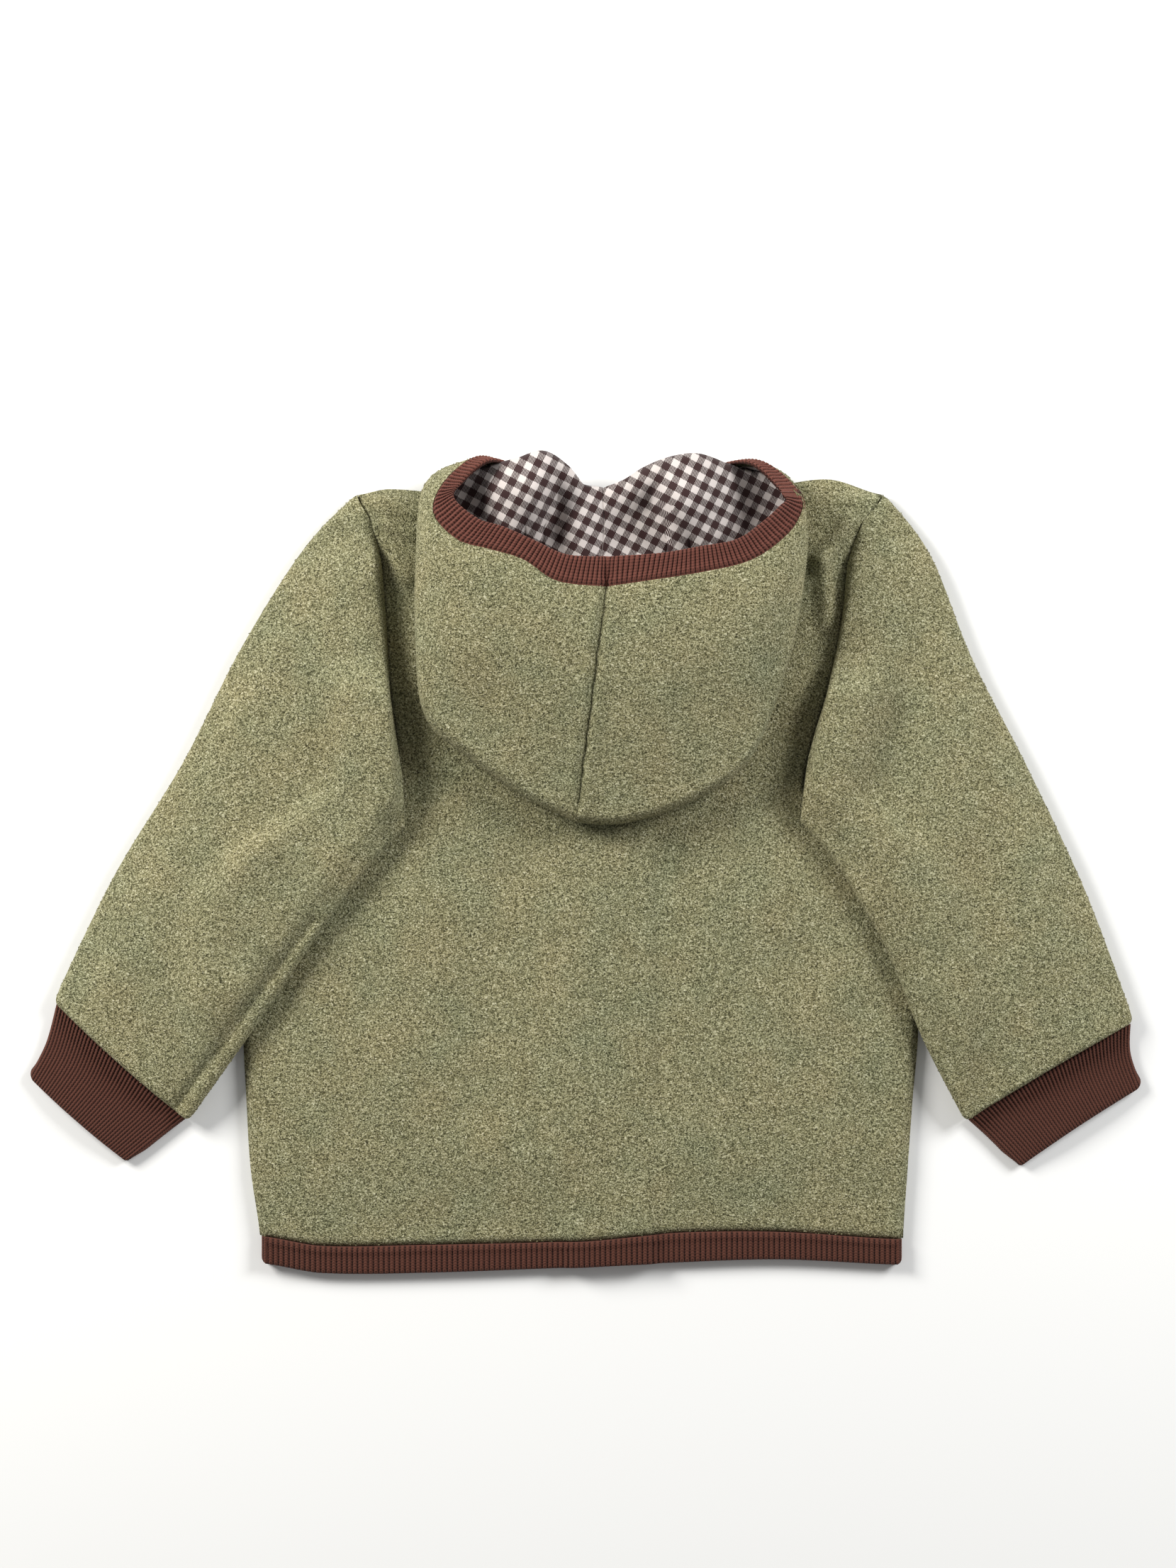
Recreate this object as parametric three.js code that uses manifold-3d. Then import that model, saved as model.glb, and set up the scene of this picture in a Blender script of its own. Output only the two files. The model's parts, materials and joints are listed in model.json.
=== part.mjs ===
// A toddler's hooded jacket in bouclé wool fleece, laid flat on its front with the hood thrown back
// over the back. Units are millimetres. +X is to the right, +Y towards the neck and +Z up; the jacket
// lies on the plane z = 0. Every cloth piece is a closed wall between two grids of points, worked out
// from the sizes and tables below.

import * as THREE from "three";
import { mergeVertices } from "three/addons/utils/BufferGeometryUtils.js";
import Module from "manifold-3d";

const wasm = await Module();
wasm.setup();

// Thickness of each cloth, and the gap that is kept at a seam.
const FLEECE = 3;
const LINING = 1;
const RIB_KNIT = 3; // a rib strip folded double
const SEAM = 0.3;
const LINING_GAP = 0.5; // between the hood's two cloths
const REST = 1.6; // clearance where one curved layer lies on another

// The body: height of the back above the front, and how far in from an edge it takes to rise.
const BODY_PUFF = 3;
const EDGE_RISE = 45;
const FRONT_SHOWS = 1.2; // how far the front's side edge stands out past the back's
const CENTRE = 13; // x of the centre back and centre front
const LAP = 10; // each front reaches this far past the centre
const LAP_SLOPE = 8; // length of the step where the under front climbs onto the other

// The neckline is half an ellipse in the back and a deeper half in the front.
const NECK_HALF = 66.5;
const BACK_NECK_DEPTH = 6;
const FRONT_NECK_DEPTH = 48;
const NECK_SPREAD = 2.9; // how far the back stands off the front at the neck
const NECK_GAP = 1; // between the curved neckline and the hood

// A table's rows, from the names of its columns and its lines of numbers.
function table(names, ...lines) {
  const keys = names.split(" ");
  return lines.map((line) => Object.fromEntries(line.map((value, k) => [keys[k], value])));
}

// Body edges, a row for each height up the back, from the hem seam to the shoulder tip. The widest row
// is the underarm.
const BODY_EDGES = table(
  "y left right",
  [-187, -159.6, 156.6],
  [-151, -164.5, 158.9],
  [-116, -166.6, 161.4],
  [-84, -168, 164],
  [-45, -166.5, 163],
  [-14, -158, 155],
  [6, -143, 142],
  [20, -121, 124],
  [36, -99, 109],
  [59, -94, 113],
  [94, -96.5, 121.5],
  [122, -98, 127],
  [150, -100.5, 130],
  [170, -106, 138],
  [182, -112.5, 147.5],
);

// Shoulder seams, a row for each place across: the back's edge and the front's, which rolls a little
// over the shoulder.
const SHOULDER = table(
  "x back front",
  [-113, 181.5, 184],
  [-97, 183.5, 187],
  [-53.5, 179, 182],
  [79.5, 179, 184],
  [120, 184.5, 190.5],
  [147.5, 182, 184],
);

// The hem band, a row for each place across: its seam to the fleece and its folded lower edge.
const HEM = table(
  "x seam fold",
  [-160, -184.5, -198.5],
  [-131, -189.2, -203.2],
  [-84, -188.8, -203.2],
  [0, -186.8, -200.3],
  [46, -182.7, -198],
  [96, -182.3, -196.5],
  [157, -186, -199.2],
);

// Sleeves, a row for each section from the armhole to the wrist seam: the outer and the inner edge,
// how far the section bows towards the neck, and how high the upper layer stands off the lower one.
const SLEEVE_LEFT = table(
  "outX outY inX inY bow puff",
  [-114, 183, -88.8, 18, 5, 2.6],
  [-139, 156, -106, -1, 4, 3],
  [-170, 107, -127.5, -29, 3, 3.2],
  [-199, 50, -147, -58, 2, 3.2],
  [-233, -6, -170, -91, 0, 3.2],
  [-263, -68, -196, -127.5, -1, 3.2],
);
const SLEEVE_RIGHT = table(
  "outX outY inX inY bow puff",
  [149.5, 182, 106.5, 21, -7, 2.6],
  [171, 153, 122, 3, -5, 3],
  [192, 101, 139, -24, 3, 3.2],
  [219, 48, 151.5, -48, 2, 3.2],
  [248, -14, 167, -87, 0, 3.2],
  [272, -78, 188, -127.5, -1, 3.2],
);

// Cuffs, a row for each section from the wrist seam to the folded end.
const CUFF_LEFT = table(
  "outX outY inX inY bow puff",
  [-261.8, -69.7, -197.8, -126.5, -1, 2.4],
  [-267, -89, -207, -133.5, -1, 2.2],
  [-275.5, -105.5, -225.8, -148.6, -1, 2.4],
);
const CUFF_RIGHT = table(
  "outX outY inX inY bow puff",
  [270.5, -79.4, 190, -126.9, -1, 2.4],
  [270.5, -94, 201, -137, -1, 2.2],
  [276, -110.5, 214.5, -151, -1, 2.4],
);

// Half the hood, a row for each line of cloth from its neck seam to its face edge, from the centre
// seam round to the chin: angle round the neckline, crest of the turned-over stand, widest edge, face
// edge, and the rib band's free edge.
const HOOD_NAMES = "neck rollX rollY rollZ edgeX edgeY edgeZ rimX rimY rimZ lipX lipY lipZ";
const HOOD_LEFT = table(
  HOOD_NAMES,
  [0, 9, 182.5, 13, -4.5, 20.5, 19, 10.5, 135.3, 46, 11.2, 150, 49],
  [14, -2.5, 184, 15, -28, 32, 19, -13.3, 138, 47, -8.8, 151, 50],
  [30, -10.5, 193, 22, -55, 50.6, 19, -30, 148.6, 46, -23.8, 157.7, 49],
  [46, -20, 198.8, 27, -78.4, 72.3, 20, -47, 153.8, 45, -39.5, 164.7, 48],
  [60, -30, 196, 26, -83.3, 111.5, 20, -62, 158.4, 42, -52, 169, 45],
  [74, -42, 193.5, 18, -83, 153.5, 20, -73.9, 171.7, 38, -63.7, 179, 42],
  [90, -51, 192.5, 10, -80, 184, 18, -69, 187, 34, -60.5, 186.4, 37],
  [108, -50, 191.5, 2, -67, 196, 12, -54, 200, 22, -47, 199, 28],
  [124, -44, 190, 0, -47, 195.5, 1.5, -38, 198, 2, -29, 196, 2],
  [140, -31.5, 181.5, 0, -25.5, 190, 0, -18.5, 192.7, 0, -9.3, 189.2, 0],
  [168, -0.5, 138.5, 0, 0.5, 140, 0, 2, 142, 0, 11, 142.5, 0],
);
const HOOD_RIGHT = table(
  HOOD_NAMES,
  [0, 9, 182.5, 13, -4.5, 20.5, 19, 10.5, 135.3, 46, 11.2, 150, 49],
  [14, 21, 186, 16, 19, 20, 19, 34.6, 138.8, 46.5, 36.8, 151.7, 49.5],
  [30, 30, 191.5, 22, 52.5, 30.6, 19, 56.7, 142.3, 46, 56, 155, 49],
  [46, 42, 196, 27, 81, 51.3, 20, 78.8, 147.5, 45, 73.5, 158.4, 48],
  [60, 55, 197.5, 26, 99, 95.7, 20, 93.8, 156.6, 42, 85, 166, 45],
  [74, 68.5, 193.5, 18, 107.5, 136, 20, 104, 168.2, 38, 94.9, 175, 42],
  [90, 77, 192.5, 10, 108.9, 171, 18, 105.4, 181.5, 35, 97.7, 181.5, 38],
  [108, 77, 193, 3, 98, 193, 12, 88, 197.5, 22, 81, 198, 28],
  [124, 70, 190, 0, 76, 195.5, 1.5, 68, 198, 2, 59, 196, 2],
  [140, 57.5, 181.5, 0, 51, 190, 0, 44.5, 192.7, 0, 35, 189.2, 0],
  [168, 26.5, 138.5, 0, 25.5, 140, 0, 24, 142, 0, 15, 142.5, 0],
);

// Deep folds of the hood's lower layer, seen through its mouth: the crest's start and end, how high
// each end stands, and how wide the fold is on its left and on its right.
const HOOD_FOLDS = table(
  "x1 y1 x2 y2 rise1 rise2 left right",
  [-17, 199, -25, 184, 15, 18, 26, 8],
  [-25, 184, -44, 146, 18, 4, 22, 8],
  [42, 199, 45, 180, 15, 18, 8, 28],
  [45, 180, 66, 142, 18, 4, 8, 24],
);

// Large soft folds of the upper layers: a crest or a trough from one point to another, its half width
// and its height.
const FOLDS = table(
  "x1 y1 x2 y2 width rise",
  [-128, 163, -84, 158, 9, -2.4],
  [-110, 176, -84, 166, 7, 0.8],
  [-97, 150, -90, 40, 8, -1.6],
  [128, 150, 120, 95, 7, -1.8],
  [140, 176, 116, 152, 8, 0.8],
  [122, 110, 106, 34, 9, -1.6],
  [-80, 30, -118, -28, 10, -1.5],
  [92, 30, 126, -30, 10, -1.5],
  [-40, -10, -52, -120, 14, -1.2],
  [40, -4, 34, -110, 14, -1.2],
  [-2, 0, -6, -150, 18, 0.6],
);

// Press studs on the lap of the fronts: cap radius and height, and a row for each height up the centre
// front.
const STUD_RADIUS = 6;
const STUD_HEIGHT = 1.1;
const STUD_ROWS = [-150, -70, 10, 90];

const RIB_PITCH = 2.6; // hem and hood band
const CUFF_RIB_PITCH = 2.1;
const RIB_RELIEF = 0.45;
const CUFF_RELIEF = 0.36;
const CUFF_WALL = 1.8; // a cuff's rib is finer and drawn thinner than the hem's

const clamp = (v, low, high) => Math.min(Math.max(v, low), high);
const mix = (a, b, t) => a + (b - a) * t;
const smooth = (t) => {
  const c = clamp(t, 0, 1);
  return c * c * (3 - 2 * c);
};
// Quarter circle from 0 to 1, for the roll at a folded edge.
const quarter = (t) => Math.sqrt(1 - (1 - clamp(t, 0, 1)) ** 2);
const range = (n, f) => Array.from({ length: n }, (_, i) => f(i));

// Smooth value of a table's column at a place counted in rows.
function atRow(rows, column, place) {
  const last = rows.length - 1;
  const k = clamp(Math.floor(place), 0, last - 1);
  const t = clamp(place, 0, last) - k;
  const [a, b, c, d] = [k - 1, k, k + 1, k + 2].map((m) => rows[clamp(m, 0, last)][column]);
  return b + 0.5 * t * (c - a + t * (2 * a - 5 * b + 4 * c - d + t * (3 * (b - c) + d - a)));
}

// The same, at a value of another column that grows from row to row.
function atKey(rows, key, value, column) {
  let k = 0;
  while (k < rows.length - 2 && rows[k + 1][key] < value) k++;
  const t = (value - rows[k][key]) / (rows[k + 1][key] - rows[k][key]);
  return atRow(rows, column, k + clamp(t, 0, 1));
}

// A closed solid between two grids of points. Rows are listed from one end to the other, and a loop
// joins each row's last point to its first. The two grids may have different numbers of points in a
// row.
function wall(outer, inner, loop = false) {
  const triangles = [];
  const apart = (p, q) => Math.hypot(p[0] - q[0], p[1] - q[1], p[2] - q[2]);
  // joins two lines of points, which need not have the same number, into triangles
  const strip = (a, b, turned) => {
    const even = a.length === b.length;
    const lead = (i, j) => (even ? i <= j : apart(a[i + 1], b[j]) <= apart(a[i], b[j + 1]));
    let [i, j] = [0, 0];
    while (i < a.length - 1 || j < b.length - 1) {
      const stepA = j === b.length - 1 || (i < a.length - 1 && lead(i, j));
      const t = stepA ? [a[i], a[i + 1], b[j]] : [a[i], b[j + 1], b[j]];
      triangles.push(turned ? [t[0], t[2], t[1]] : t);
      if (stepA) i++;
      else j++;
    }
  };
  const rows = (grid) => grid.map((row) => (loop ? [...row, row[0]] : row));
  const [o, n] = [rows(outer), rows(inner)];
  for (let i = 0; i < o.length - 1; i++) strip(o[i], o[i + 1], false);
  for (let i = 0; i < n.length - 1; i++) strip(n[i], n[i + 1], true);
  strip(o[0], n[0], true);
  strip(o[o.length - 1], n[n.length - 1], false);
  if (!loop) {
    strip(o.map((row) => row[0]), n.map((row) => row[0]), false);
    strip(o.map((row) => row[row.length - 1]), n.map((row) => row[row.length - 1]), true);
  }
  const [a, b, c, cross] = range(4, () => new THREE.Vector3());
  const volume = triangles.reduce((sum, t) => {
    [a, b, c].forEach((v, k) => v.fromArray(t[k]));
    return sum + a.dot(cross.crossVectors(b, c));
  }, 0);
  if (volume < 0) triangles.forEach((t) => t.reverse());
  return new THREE.BufferGeometry().setAttribute(
    "position",
    new THREE.Float32BufferAttribute(triangles.flat(2), 3),
  );
}

// A stud's cap on the centre front, as a disc between two heights, and the front with a seat cut for
// each.
function studAt(y, radius, bottom, top) {
  const disc = new THREE.CylinderGeometry(radius, radius, top - bottom, 12);
  return disc.rotateX(Math.PI / 2).translate(CENTRE, y, (bottom + top) / 2);
}
function toManifold(geometry) {
  const welded = mergeVertices(geometry.clone().deleteAttribute("normal").deleteAttribute("uv"), 1e-4);
  return new wasm.Manifold(
    new wasm.Mesh({
      numProp: 3,
      vertProperties: new Float32Array(welded.attributes.position.array),
      triVerts: new Uint32Array(welded.index.array),
    }),
  );
}
function fromManifold(solid) {
  const { vertProperties, triVerts } = solid.getMesh();
  const geometry = new THREE.BufferGeometry();
  geometry.setAttribute("position", new THREE.Float32BufferAttribute(vertProperties, 3));
  return geometry.setIndex([...triVerts]);
}
// A cloth with what lies against it cut away, where a tight crease would let the two touch.
function clearOf(geometry, other) {
  const bodies = toManifold(geometry).subtract(toManifold(other)).decompose();
  return fromManifold(bodies.sort((a, b) => b.volume() - a.volume())[0]);
}
function withSeats(front) {
  const seats = STUD_ROWS.map((y) => toManifold(studAt(y, STUD_RADIUS + SEAM, -1, STUD_HEIGHT + SEAM)));
  return fromManifold(toManifold(front).subtract(wasm.Manifold.union(seats)));
}

// Height that the folds in a table add at a point.
function foldHeight(x, y) {
  return FOLDS.reduce((sum, f) => {
    const [dx, dy] = [f.x2 - f.x1, f.y2 - f.y1];
    const t = clamp(((x - f.x1) * dx + (y - f.y1) * dy) / (dx * dx + dy * dy), 0, 1);
    const away = Math.hypot(x - f.x1 - t * dx, y - f.y1 - t * dy) / f.width;
    return sum + f.rise * Math.exp(-away * away);
  }, 0);
}

// The body's outline and its two layers.
const TIP_Y = BODY_EDGES[BODY_EDGES.length - 1].y;
const leftEdge = (y) => atKey(BODY_EDGES, "y", y, "left");
const rightEdge = (y) => atKey(BODY_EDGES, "y", y, "right");
const hemLine = (x, line) => atKey(HEM, "x", x, line);
function topLine(x, layer) {
  const depth = layer === "back" ? BACK_NECK_DEPTH : FRONT_NECK_DEPTH;
  const across = (x - CENTRE) / NECK_HALF;
  return atKey(SHOULDER, "x", x, layer) - depth * Math.sqrt(Math.max(0, 1 - across * across));
}

// How far the under front climbs where it lies on the other.
const lapStep = (x) => (FLEECE + SEAM) * (1 - smooth((x - CENTRE - LAP - 1) / LAP_SLOPE));

// Gap between the front and the back beyond the plain seam gap.
function bodyPuff(x, y) {
  const inward = Math.min(x - leftEdge(y), rightEdge(y) - x);
  const held = 0.35 * smooth((y - 30) / 30);
  const side = held + (1 - held) * smooth(inward / EDGE_RISE);
  const hem = smooth((y + 190) / 50);
  const shoulder = smooth((topLine(x, "back") - y) / 30);
  const across = Math.abs(x - CENTRE);
  const neck = NECK_SPREAD * smooth((NECK_HALF + 14 - across) / 30) * smooth((y - 120) / 40);
  const overLap = smooth((LAP + 2 * LAP_SLOPE - across) / LAP_SLOPE) * (1 - smooth((y - 134) / 26));
  const lap = (FLEECE + SEAM) * overLap;
  const soft = Math.max(0, BODY_PUFF * side * hem * shoulder + foldHeight(x, y) * side * hem * shoulder);
  return Math.max(soft, neck, lap);
}
const backUnder = (x, y) => FLEECE + SEAM + bodyPuff(x, y);
const backTop = (x, y) => backUnder(x, y) + FLEECE;

// Points of a panel's top edge from one shoulder tip to the other: along the shoulder, then round the
// neckline.
function topEdge(layer, side, alongShoulder, roundNeck, neckEnd) {
  const tip = side < 0 ? leftEdge(TIP_Y) : rightEdge(TIP_Y);
  const neckSide = CENTRE + side * NECK_HALF;
  const shoulder = range(alongShoulder, (k) => mix(tip, neckSide, k / alongShoulder));
  const neck = range(roundNeck + 1, (k) => CENTRE + side * NECK_HALF * Math.cos((k / roundNeck) * neckEnd));
  return [...shoulder, ...neck].map((x) => [x, topLine(x, layer)]);
}

// A flat panel, made of columns that run from the hem seam to the points of its top edge. columnsAt
// gives the places of the columns at a height, if the top edge did not draw them together.
function panel({ top, columnsAt, rows, under, over, round }) {
  const grid = (height, inset) =>
    range(rows + 1, (i) => {
      const v = i / rows;
      const gather = smooth((v - 0.45) / 0.55);
      return top.map(([topX, topY], j) => {
        const low = hemLine(columnsAt(BODY_EDGES[0].y)[j], "seam") + SEAM;
        const y = mix(low, topY - inset, v);
        const x = columnsAt(y)[j] + gather * (topX - columnsAt(topY)[j]);
        const side = j === 0 ? inset : j === top.length - 1 ? -inset : 0;
        return [x + side, y, height(x, y)];
      });
    });
  return wall(grid(over, round === "over" ? 0.8 : 0), grid(under, round === "under" ? 0.5 : 0));
}

// A tube of cloth pressed flat, such as a sleeve. base is the height of what it lies on.
function flatTube({ rows, sections, thick, across, base, fit = (x) => x, ribs = 0, relief = 0 }) {
  const half = thick + SEAM; // half the height of the folded edges
  const loopAt = (s, inner) => {
    const place = s * (rows.length - 1);
    const v = (column) => atRow(rows, column, place);
    const [ax, ay, bx, by] = [v("outX"), v("outY"), v("inX"), v("inY")];
    const width = Math.hypot(bx - ax, by - ay);
    const [ux, uy] = [(bx - ax) / width, (by - ay) / width];
    const point = (d, side, lift) => {
      // d is the distance in from the outer edge, side 1 for the upper layer and -1 for the lower
      const t = d / width;
      const bow = v("bow") * 4 * t * (1 - t);
      const y = ay + uy * d + ux * bow;
      const x = fit(ax + ux * d - uy * bow, y, s);
      const edge = Math.min(d, width - d) - (inner ? thick : 0);
      const round = inner ? half - thick : half;
      const swell = v("puff") * smooth(edge / 22);
      const fold = foldHeight(x, y) * smooth(edge / 15) * (1 - s);
      const rise = round * quarter(edge / round);
      const z = base(x, y) + half + side * rise + (side > 0 ? Math.max(0, swell + fold) : 0);
      return [x, y, z + lift];
    };
    const start = inner ? thick : 0;
    const end = width - start;
    const round = inner ? half - thick : half;
    const near = [0, 0.3 * round, round];
    const spaced = (n) => range(n, (k) => mix(start + round, end - round, (k + 1) / (n + 1)));
    const ends = [near.map((d) => start + d), near.map((d) => end - d).reverse()];
    const line = (n) => [...ends[0], ...spaced(n), ...ends[1]];
    const upper = inner || !ribs ? line(across) : line(2 * ribs - 1);
    const lower = line(Math.max(4, Math.round(across / 2)));
    const relieved = (k, count) => (ribs && !inner && k > 2 && k < count - 3 && k % 2 ? -relief : 0);
    return [
      ...upper.map((d, k) => point(d, 1, relieved(k, upper.length))),
      ...lower.slice(1, -1).reverse().map((d) => point(d, -1, 0)),
    ];
  };
  const grid = (inner) => range(sections + 1, (i) => loopAt((i / sections) ** 1.25, inner));
  return wall(grid(false), grid(true), true);
}

// What a sleeve lies on: the plane, or the side of the body, onto which it climbs from the armhole's
// foot down.
const CLIMB = 22;
const ARMHOLE_FOOT = 66;
function sleeveBase(side) {
  return (x, y) => {
    const out = side < 0 ? leftEdge(y) - x : x - rightEdge(y);
    const inBody = clamp(x, leftEdge(y), rightEdge(y));
    const below = 1 - smooth((y - ARMHOLE_FOOT - 14) / 25);
    return (backTop(inBody, y) + REST) * below * (1 - smooth((out - 18) / CLIMB));
  };
}

// Moves a sleeve's points above the armhole's foot clear of the body, and its first section up to the
// body's edge.
function sleeveFit(side) {
  return (x, y, s) => {
    if (y < ARMHOLE_FOOT || y > TIP_Y) return x;
    const edge = side < 0 ? leftEdge(y) - 1 : rightEdge(y) + 1;
    const sewn = mix(edge, x, smooth(s / 0.12));
    return side < 0 ? Math.min(sewn, edge) : Math.max(sewn, edge);
  };
}

// The hem band, a strip that runs from the under front's end round the right side, across the back and
// round the left.
function hemBand() {
  const half = RIB_KNIT + SEAM;
  const [left, right] = [HEM[0].x, HEM[HEM.length - 1].x];
  const backRun = (x) => RIB_KNIT + SEAM + bodyPuff(x, BODY_EDGES[0].y);
  const line = (from, to, step) => {
    const n = Math.max(1, Math.round(Math.abs(to - from) / step));
    return range(n + 1, (i) => mix(from, to, i / n));
  };
  const ring = (inner, ribbed) => {
    const off = inner ? RIB_KNIT : 0;
    const turn = (centre, side, angles) =>
      angles.map((deg) => {
        const a = (deg * Math.PI) / 180;
        return [centre + side * (half - off) * Math.cos(a), half + (half - off) * Math.sin(a)];
      });
    const top = line(right - half, left + half, ribbed ? RIB_PITCH / 2 : 10);
    const relieved = (k) => (ribbed && k % 2 ? RIB_RELIEF : 0);
    const stepStart = CENTRE + LAP + 1;
    const onLap = [
      ...line(CENTRE - LAP, stepStart, 12),
      ...line(stepStart + LAP_SLOPE / 3, stepStart + LAP_SLOPE, 3),
    ];
    return [
      ...onLap.map((x) => [x, lapStep(x) + off]),
      ...line(stepStart + 1 + LAP_SLOPE, right - half, 8).map((x) => [x, off]),
      ...turn(right - half, 1, [-50, 0, 50]),
      ...top.map((x, k) => [x, backRun(x) + RIB_KNIT - off - relieved(k)]),
      ...turn(left + half, -1, [50, 0, -50]),
      ...line(left + half, CENTRE + LAP, 8).map((x) => [x, off]),
    ];
  };
  const rows = (points) => [
    points.map(([x, z]) => [x, hemLine(x, "seam"), z]),
    points.map(([x, z]) => [x, hemLine(x, "fold") + 1, z]),
  ];
  return wall(rows(ring(false, true)), rows(ring(true, false)));
}

// The hood. A line of cloth runs from the neck seam, over the turned-down stand, along the lower
// layer, round the widest edge and along the upper layer to the face edge. These are its stretches, as
// shares of the line.
const STAND_END = 0.14;
const LOWER_END = 0.56;
const EDGE_ROUND = 9; // how far the widest edge takes to turn over
const STAND_DROP = 16; // how far the stand takes to come down onto the back
const BACK_END = 186; // the back lies under the hood up to this height
const CROWN_BULGE = 4; // how far the upper layer swells
const LINING_SHORT = 4.5; // how far the lining stops short of the face edge

function hoodFold(x, y) {
  return HOOD_FOLDS.reduce((best, f) => {
    const [dx, dy] = [f.x2 - f.x1, f.y2 - f.y1];
    const t = clamp(((x - f.x1) * dx + (y - f.y1) * dy) / (dx * dx + dy * dy), 0, 1);
    const [ex, ey] = [x - f.x1 - t * dx, y - f.y1 - t * dy];
    const away = Math.hypot(ex, ey) / (ex < 0 ? f.left : f.right);
    return Math.max(best, mix(f.rise1, f.rise2, t) * Math.exp(-away * away * 1.2));
  }, 0);
}

function neckPoint(angle, side) {
  const a = (angle * Math.PI) / 180;
  const half = NECK_HALF - NECK_GAP;
  const depth = (Math.cos(a) > 0 ? BACK_NECK_DEPTH : FRONT_NECK_DEPTH) - NECK_GAP;
  const x = CENTRE + side * half * Math.sin(a);
  const y = atKey(SHOULDER, "x", x, Math.cos(a) > 0 ? "back" : "front") - depth * Math.abs(Math.cos(a));
  const tall = 2 * FLEECE + SEAM + NECK_SPREAD;
  return [x, y, (tall / 2) * (1 + clamp(3 * Math.cos(a), -1, 1))];
}

function hoodPoint(rows, side, place, s) {
  const v = (column) => atRow(rows, column, place);
  const neck = neckPoint(v("neck"), side);
  const [rx, ry, rz] = [v("rollX"), v("rollY"), v("rollZ")];
  const [ex, ey, ez] = [v("edgeX"), v("edgeY"), v("edgeZ")];
  const [mx, my, mz] = [v("rimX"), v("rimY"), v("rimZ")];
  const flap = smooth((place - 6) / 1.5); // 1 on the part below the chin, which lies flat on the plane
  if (s < STAND_END) {
    const t = s / STAND_END;
    const lean = smooth(t);
    return [mix(neck[0], rx, t), mix(neck[1], ry, Math.sin((t * Math.PI) / 2)), mix(neck[2], rz, lean * t)];
  }
  if (s < LOWER_END) {
    const t = (s - STAND_END) / (LOWER_END - STAND_END);
    const u = 1 - (1 - t) ** 1.5;
    const [x, y] = [mix(rx, ex, u), mix(ry, ey, u)];
    const fromRoll = Math.hypot(x - rx, y - ry);
    const toEdge = Math.hypot(x - ex, y - ey);
    const lying = backTop(x, Math.min(y, BACK_END)) + REST + hoodFold(x, y);
    const low = mix(rz, lying, smooth(fromRoll / STAND_DROP));
    const z = mix(ez, low, quarter(toEdge / EDGE_ROUND));
    return [x, y, mix(z, mix(rz, ez, t), flap)];
  }
  const t = (s - LOWER_END) / (1 - LOWER_END);
  const u = t ** 1.5;
  const [x, y] = [mix(ex, mx, u), mix(ey, my, u)];
  const length = Math.hypot(mx - ex, my - ey);
  const shoulder = ez + Math.min(EDGE_ROUND, mz - ez);
  const round = Math.min(EDGE_ROUND, length);
  const z =
    mix(ez, shoulder, quarter((u * length) / round)) +
    (mz - shoulder) * smooth(u) +
    CROWN_BULGE * Math.sin(Math.PI * u) * smooth(length / 60);
  return [x, y, mix(z, mix(ez, mz, t), flap)];
}

// A grid's normals, pointing to the inner side.
function inwardNormals(grid) {
  const [lastRow, lastColumn] = [grid.length - 1, grid[0].length - 1];
  const vector = (i, j) => new THREE.Vector3(...grid[clamp(i, 0, lastRow)][clamp(j, 0, lastColumn)]);
  return grid.map((row, i) =>
    row.map((_, j) => {
      const along = vector(i + 1, j).sub(vector(i - 1, j));
      return vector(i, j + 1).sub(vector(i, j - 1)).cross(along).normalize();
    }),
  );
}

// How far each point of a grid can move inwards before it meets the rest of the grid in a tight fold:
// the radius of the largest ball that touches the grid there, up to a limit.
function roomInside(grid, normals, limit) {
  const points = grid.flat().map((p) => new THREE.Vector3(...p));
  const to = new THREE.Vector3();
  return grid.map((row, i) =>
    row.map((p, j) => {
      const from = new THREE.Vector3(...p);
      return points.reduce((room, q) => {
        const towards = to.copy(q).sub(from).dot(normals[i][j]);
        return towards > 0.01 ? Math.min(room, to.lengthSq() / (2 * towards)) : room;
      }, limit);
    }),
  );
}

// One grid for the whole hood, from the left chin over the forehead to the right chin, so that both
// halves, the lining and the rib band follow the same surface.
const HOOD_ROWS = 18;
// Shares of a line at which the cloth is worked out, closer together at its turns.
const HOOD_STEPS = [
  ...[0, 0.06, 0.1, 0.13, 0.16, 0.2, 0.27, 0.36, 0.46],
  ...[0.53, 0.57, 0.61, 0.67, 0.75, 0.83, 0.91, 1],
];
const HOOD_COLUMNS = HOOD_STEPS.length - 1;
const hoodSurface = range(2 * HOOD_ROWS + 1, (i) => {
  const side = i < HOOD_ROWS ? -1 : 1;
  const place = (Math.abs(i - HOOD_ROWS) / HOOD_ROWS) * (HOOD_LEFT.length - 1);
  const rows = side < 0 ? HOOD_LEFT : HOOD_RIGHT;
  return HOOD_STEPS.map((s) => hoodPoint(rows, side, place, s)).map(([x, y, z]) => [x, y, Math.max(z, 0)]);
});

// The surface moved inwards, less where a fold is too tight for the whole thickness of the cloth.
const HOOD_DEPTH = FLEECE + LINING_GAP + LINING;
const hoodNormals = inwardNormals(hoodSurface);
const hoodRoom = roomInside(hoodSurface, hoodNormals, 1.15 * HOOD_DEPTH);
function hoodAt(depth) {
  const share = (i, j) => {
    const rows = hoodRoom.slice(Math.max(0, i - 1), i + 2);
    const near = rows.flatMap((row) => row.slice(Math.max(0, j - 1), j + 2));
    return Math.min(1, (0.72 * Math.min(...near)) / HOOD_DEPTH);
  };
  return hoodSurface.map((row, i) =>
    row.map((p, j) => {
      const step = hoodNormals[i][j].toArray().map((v) => v * depth * share(i, j));
      return p.map((v, k) => v + step[k]);
    }),
  );
}

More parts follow.
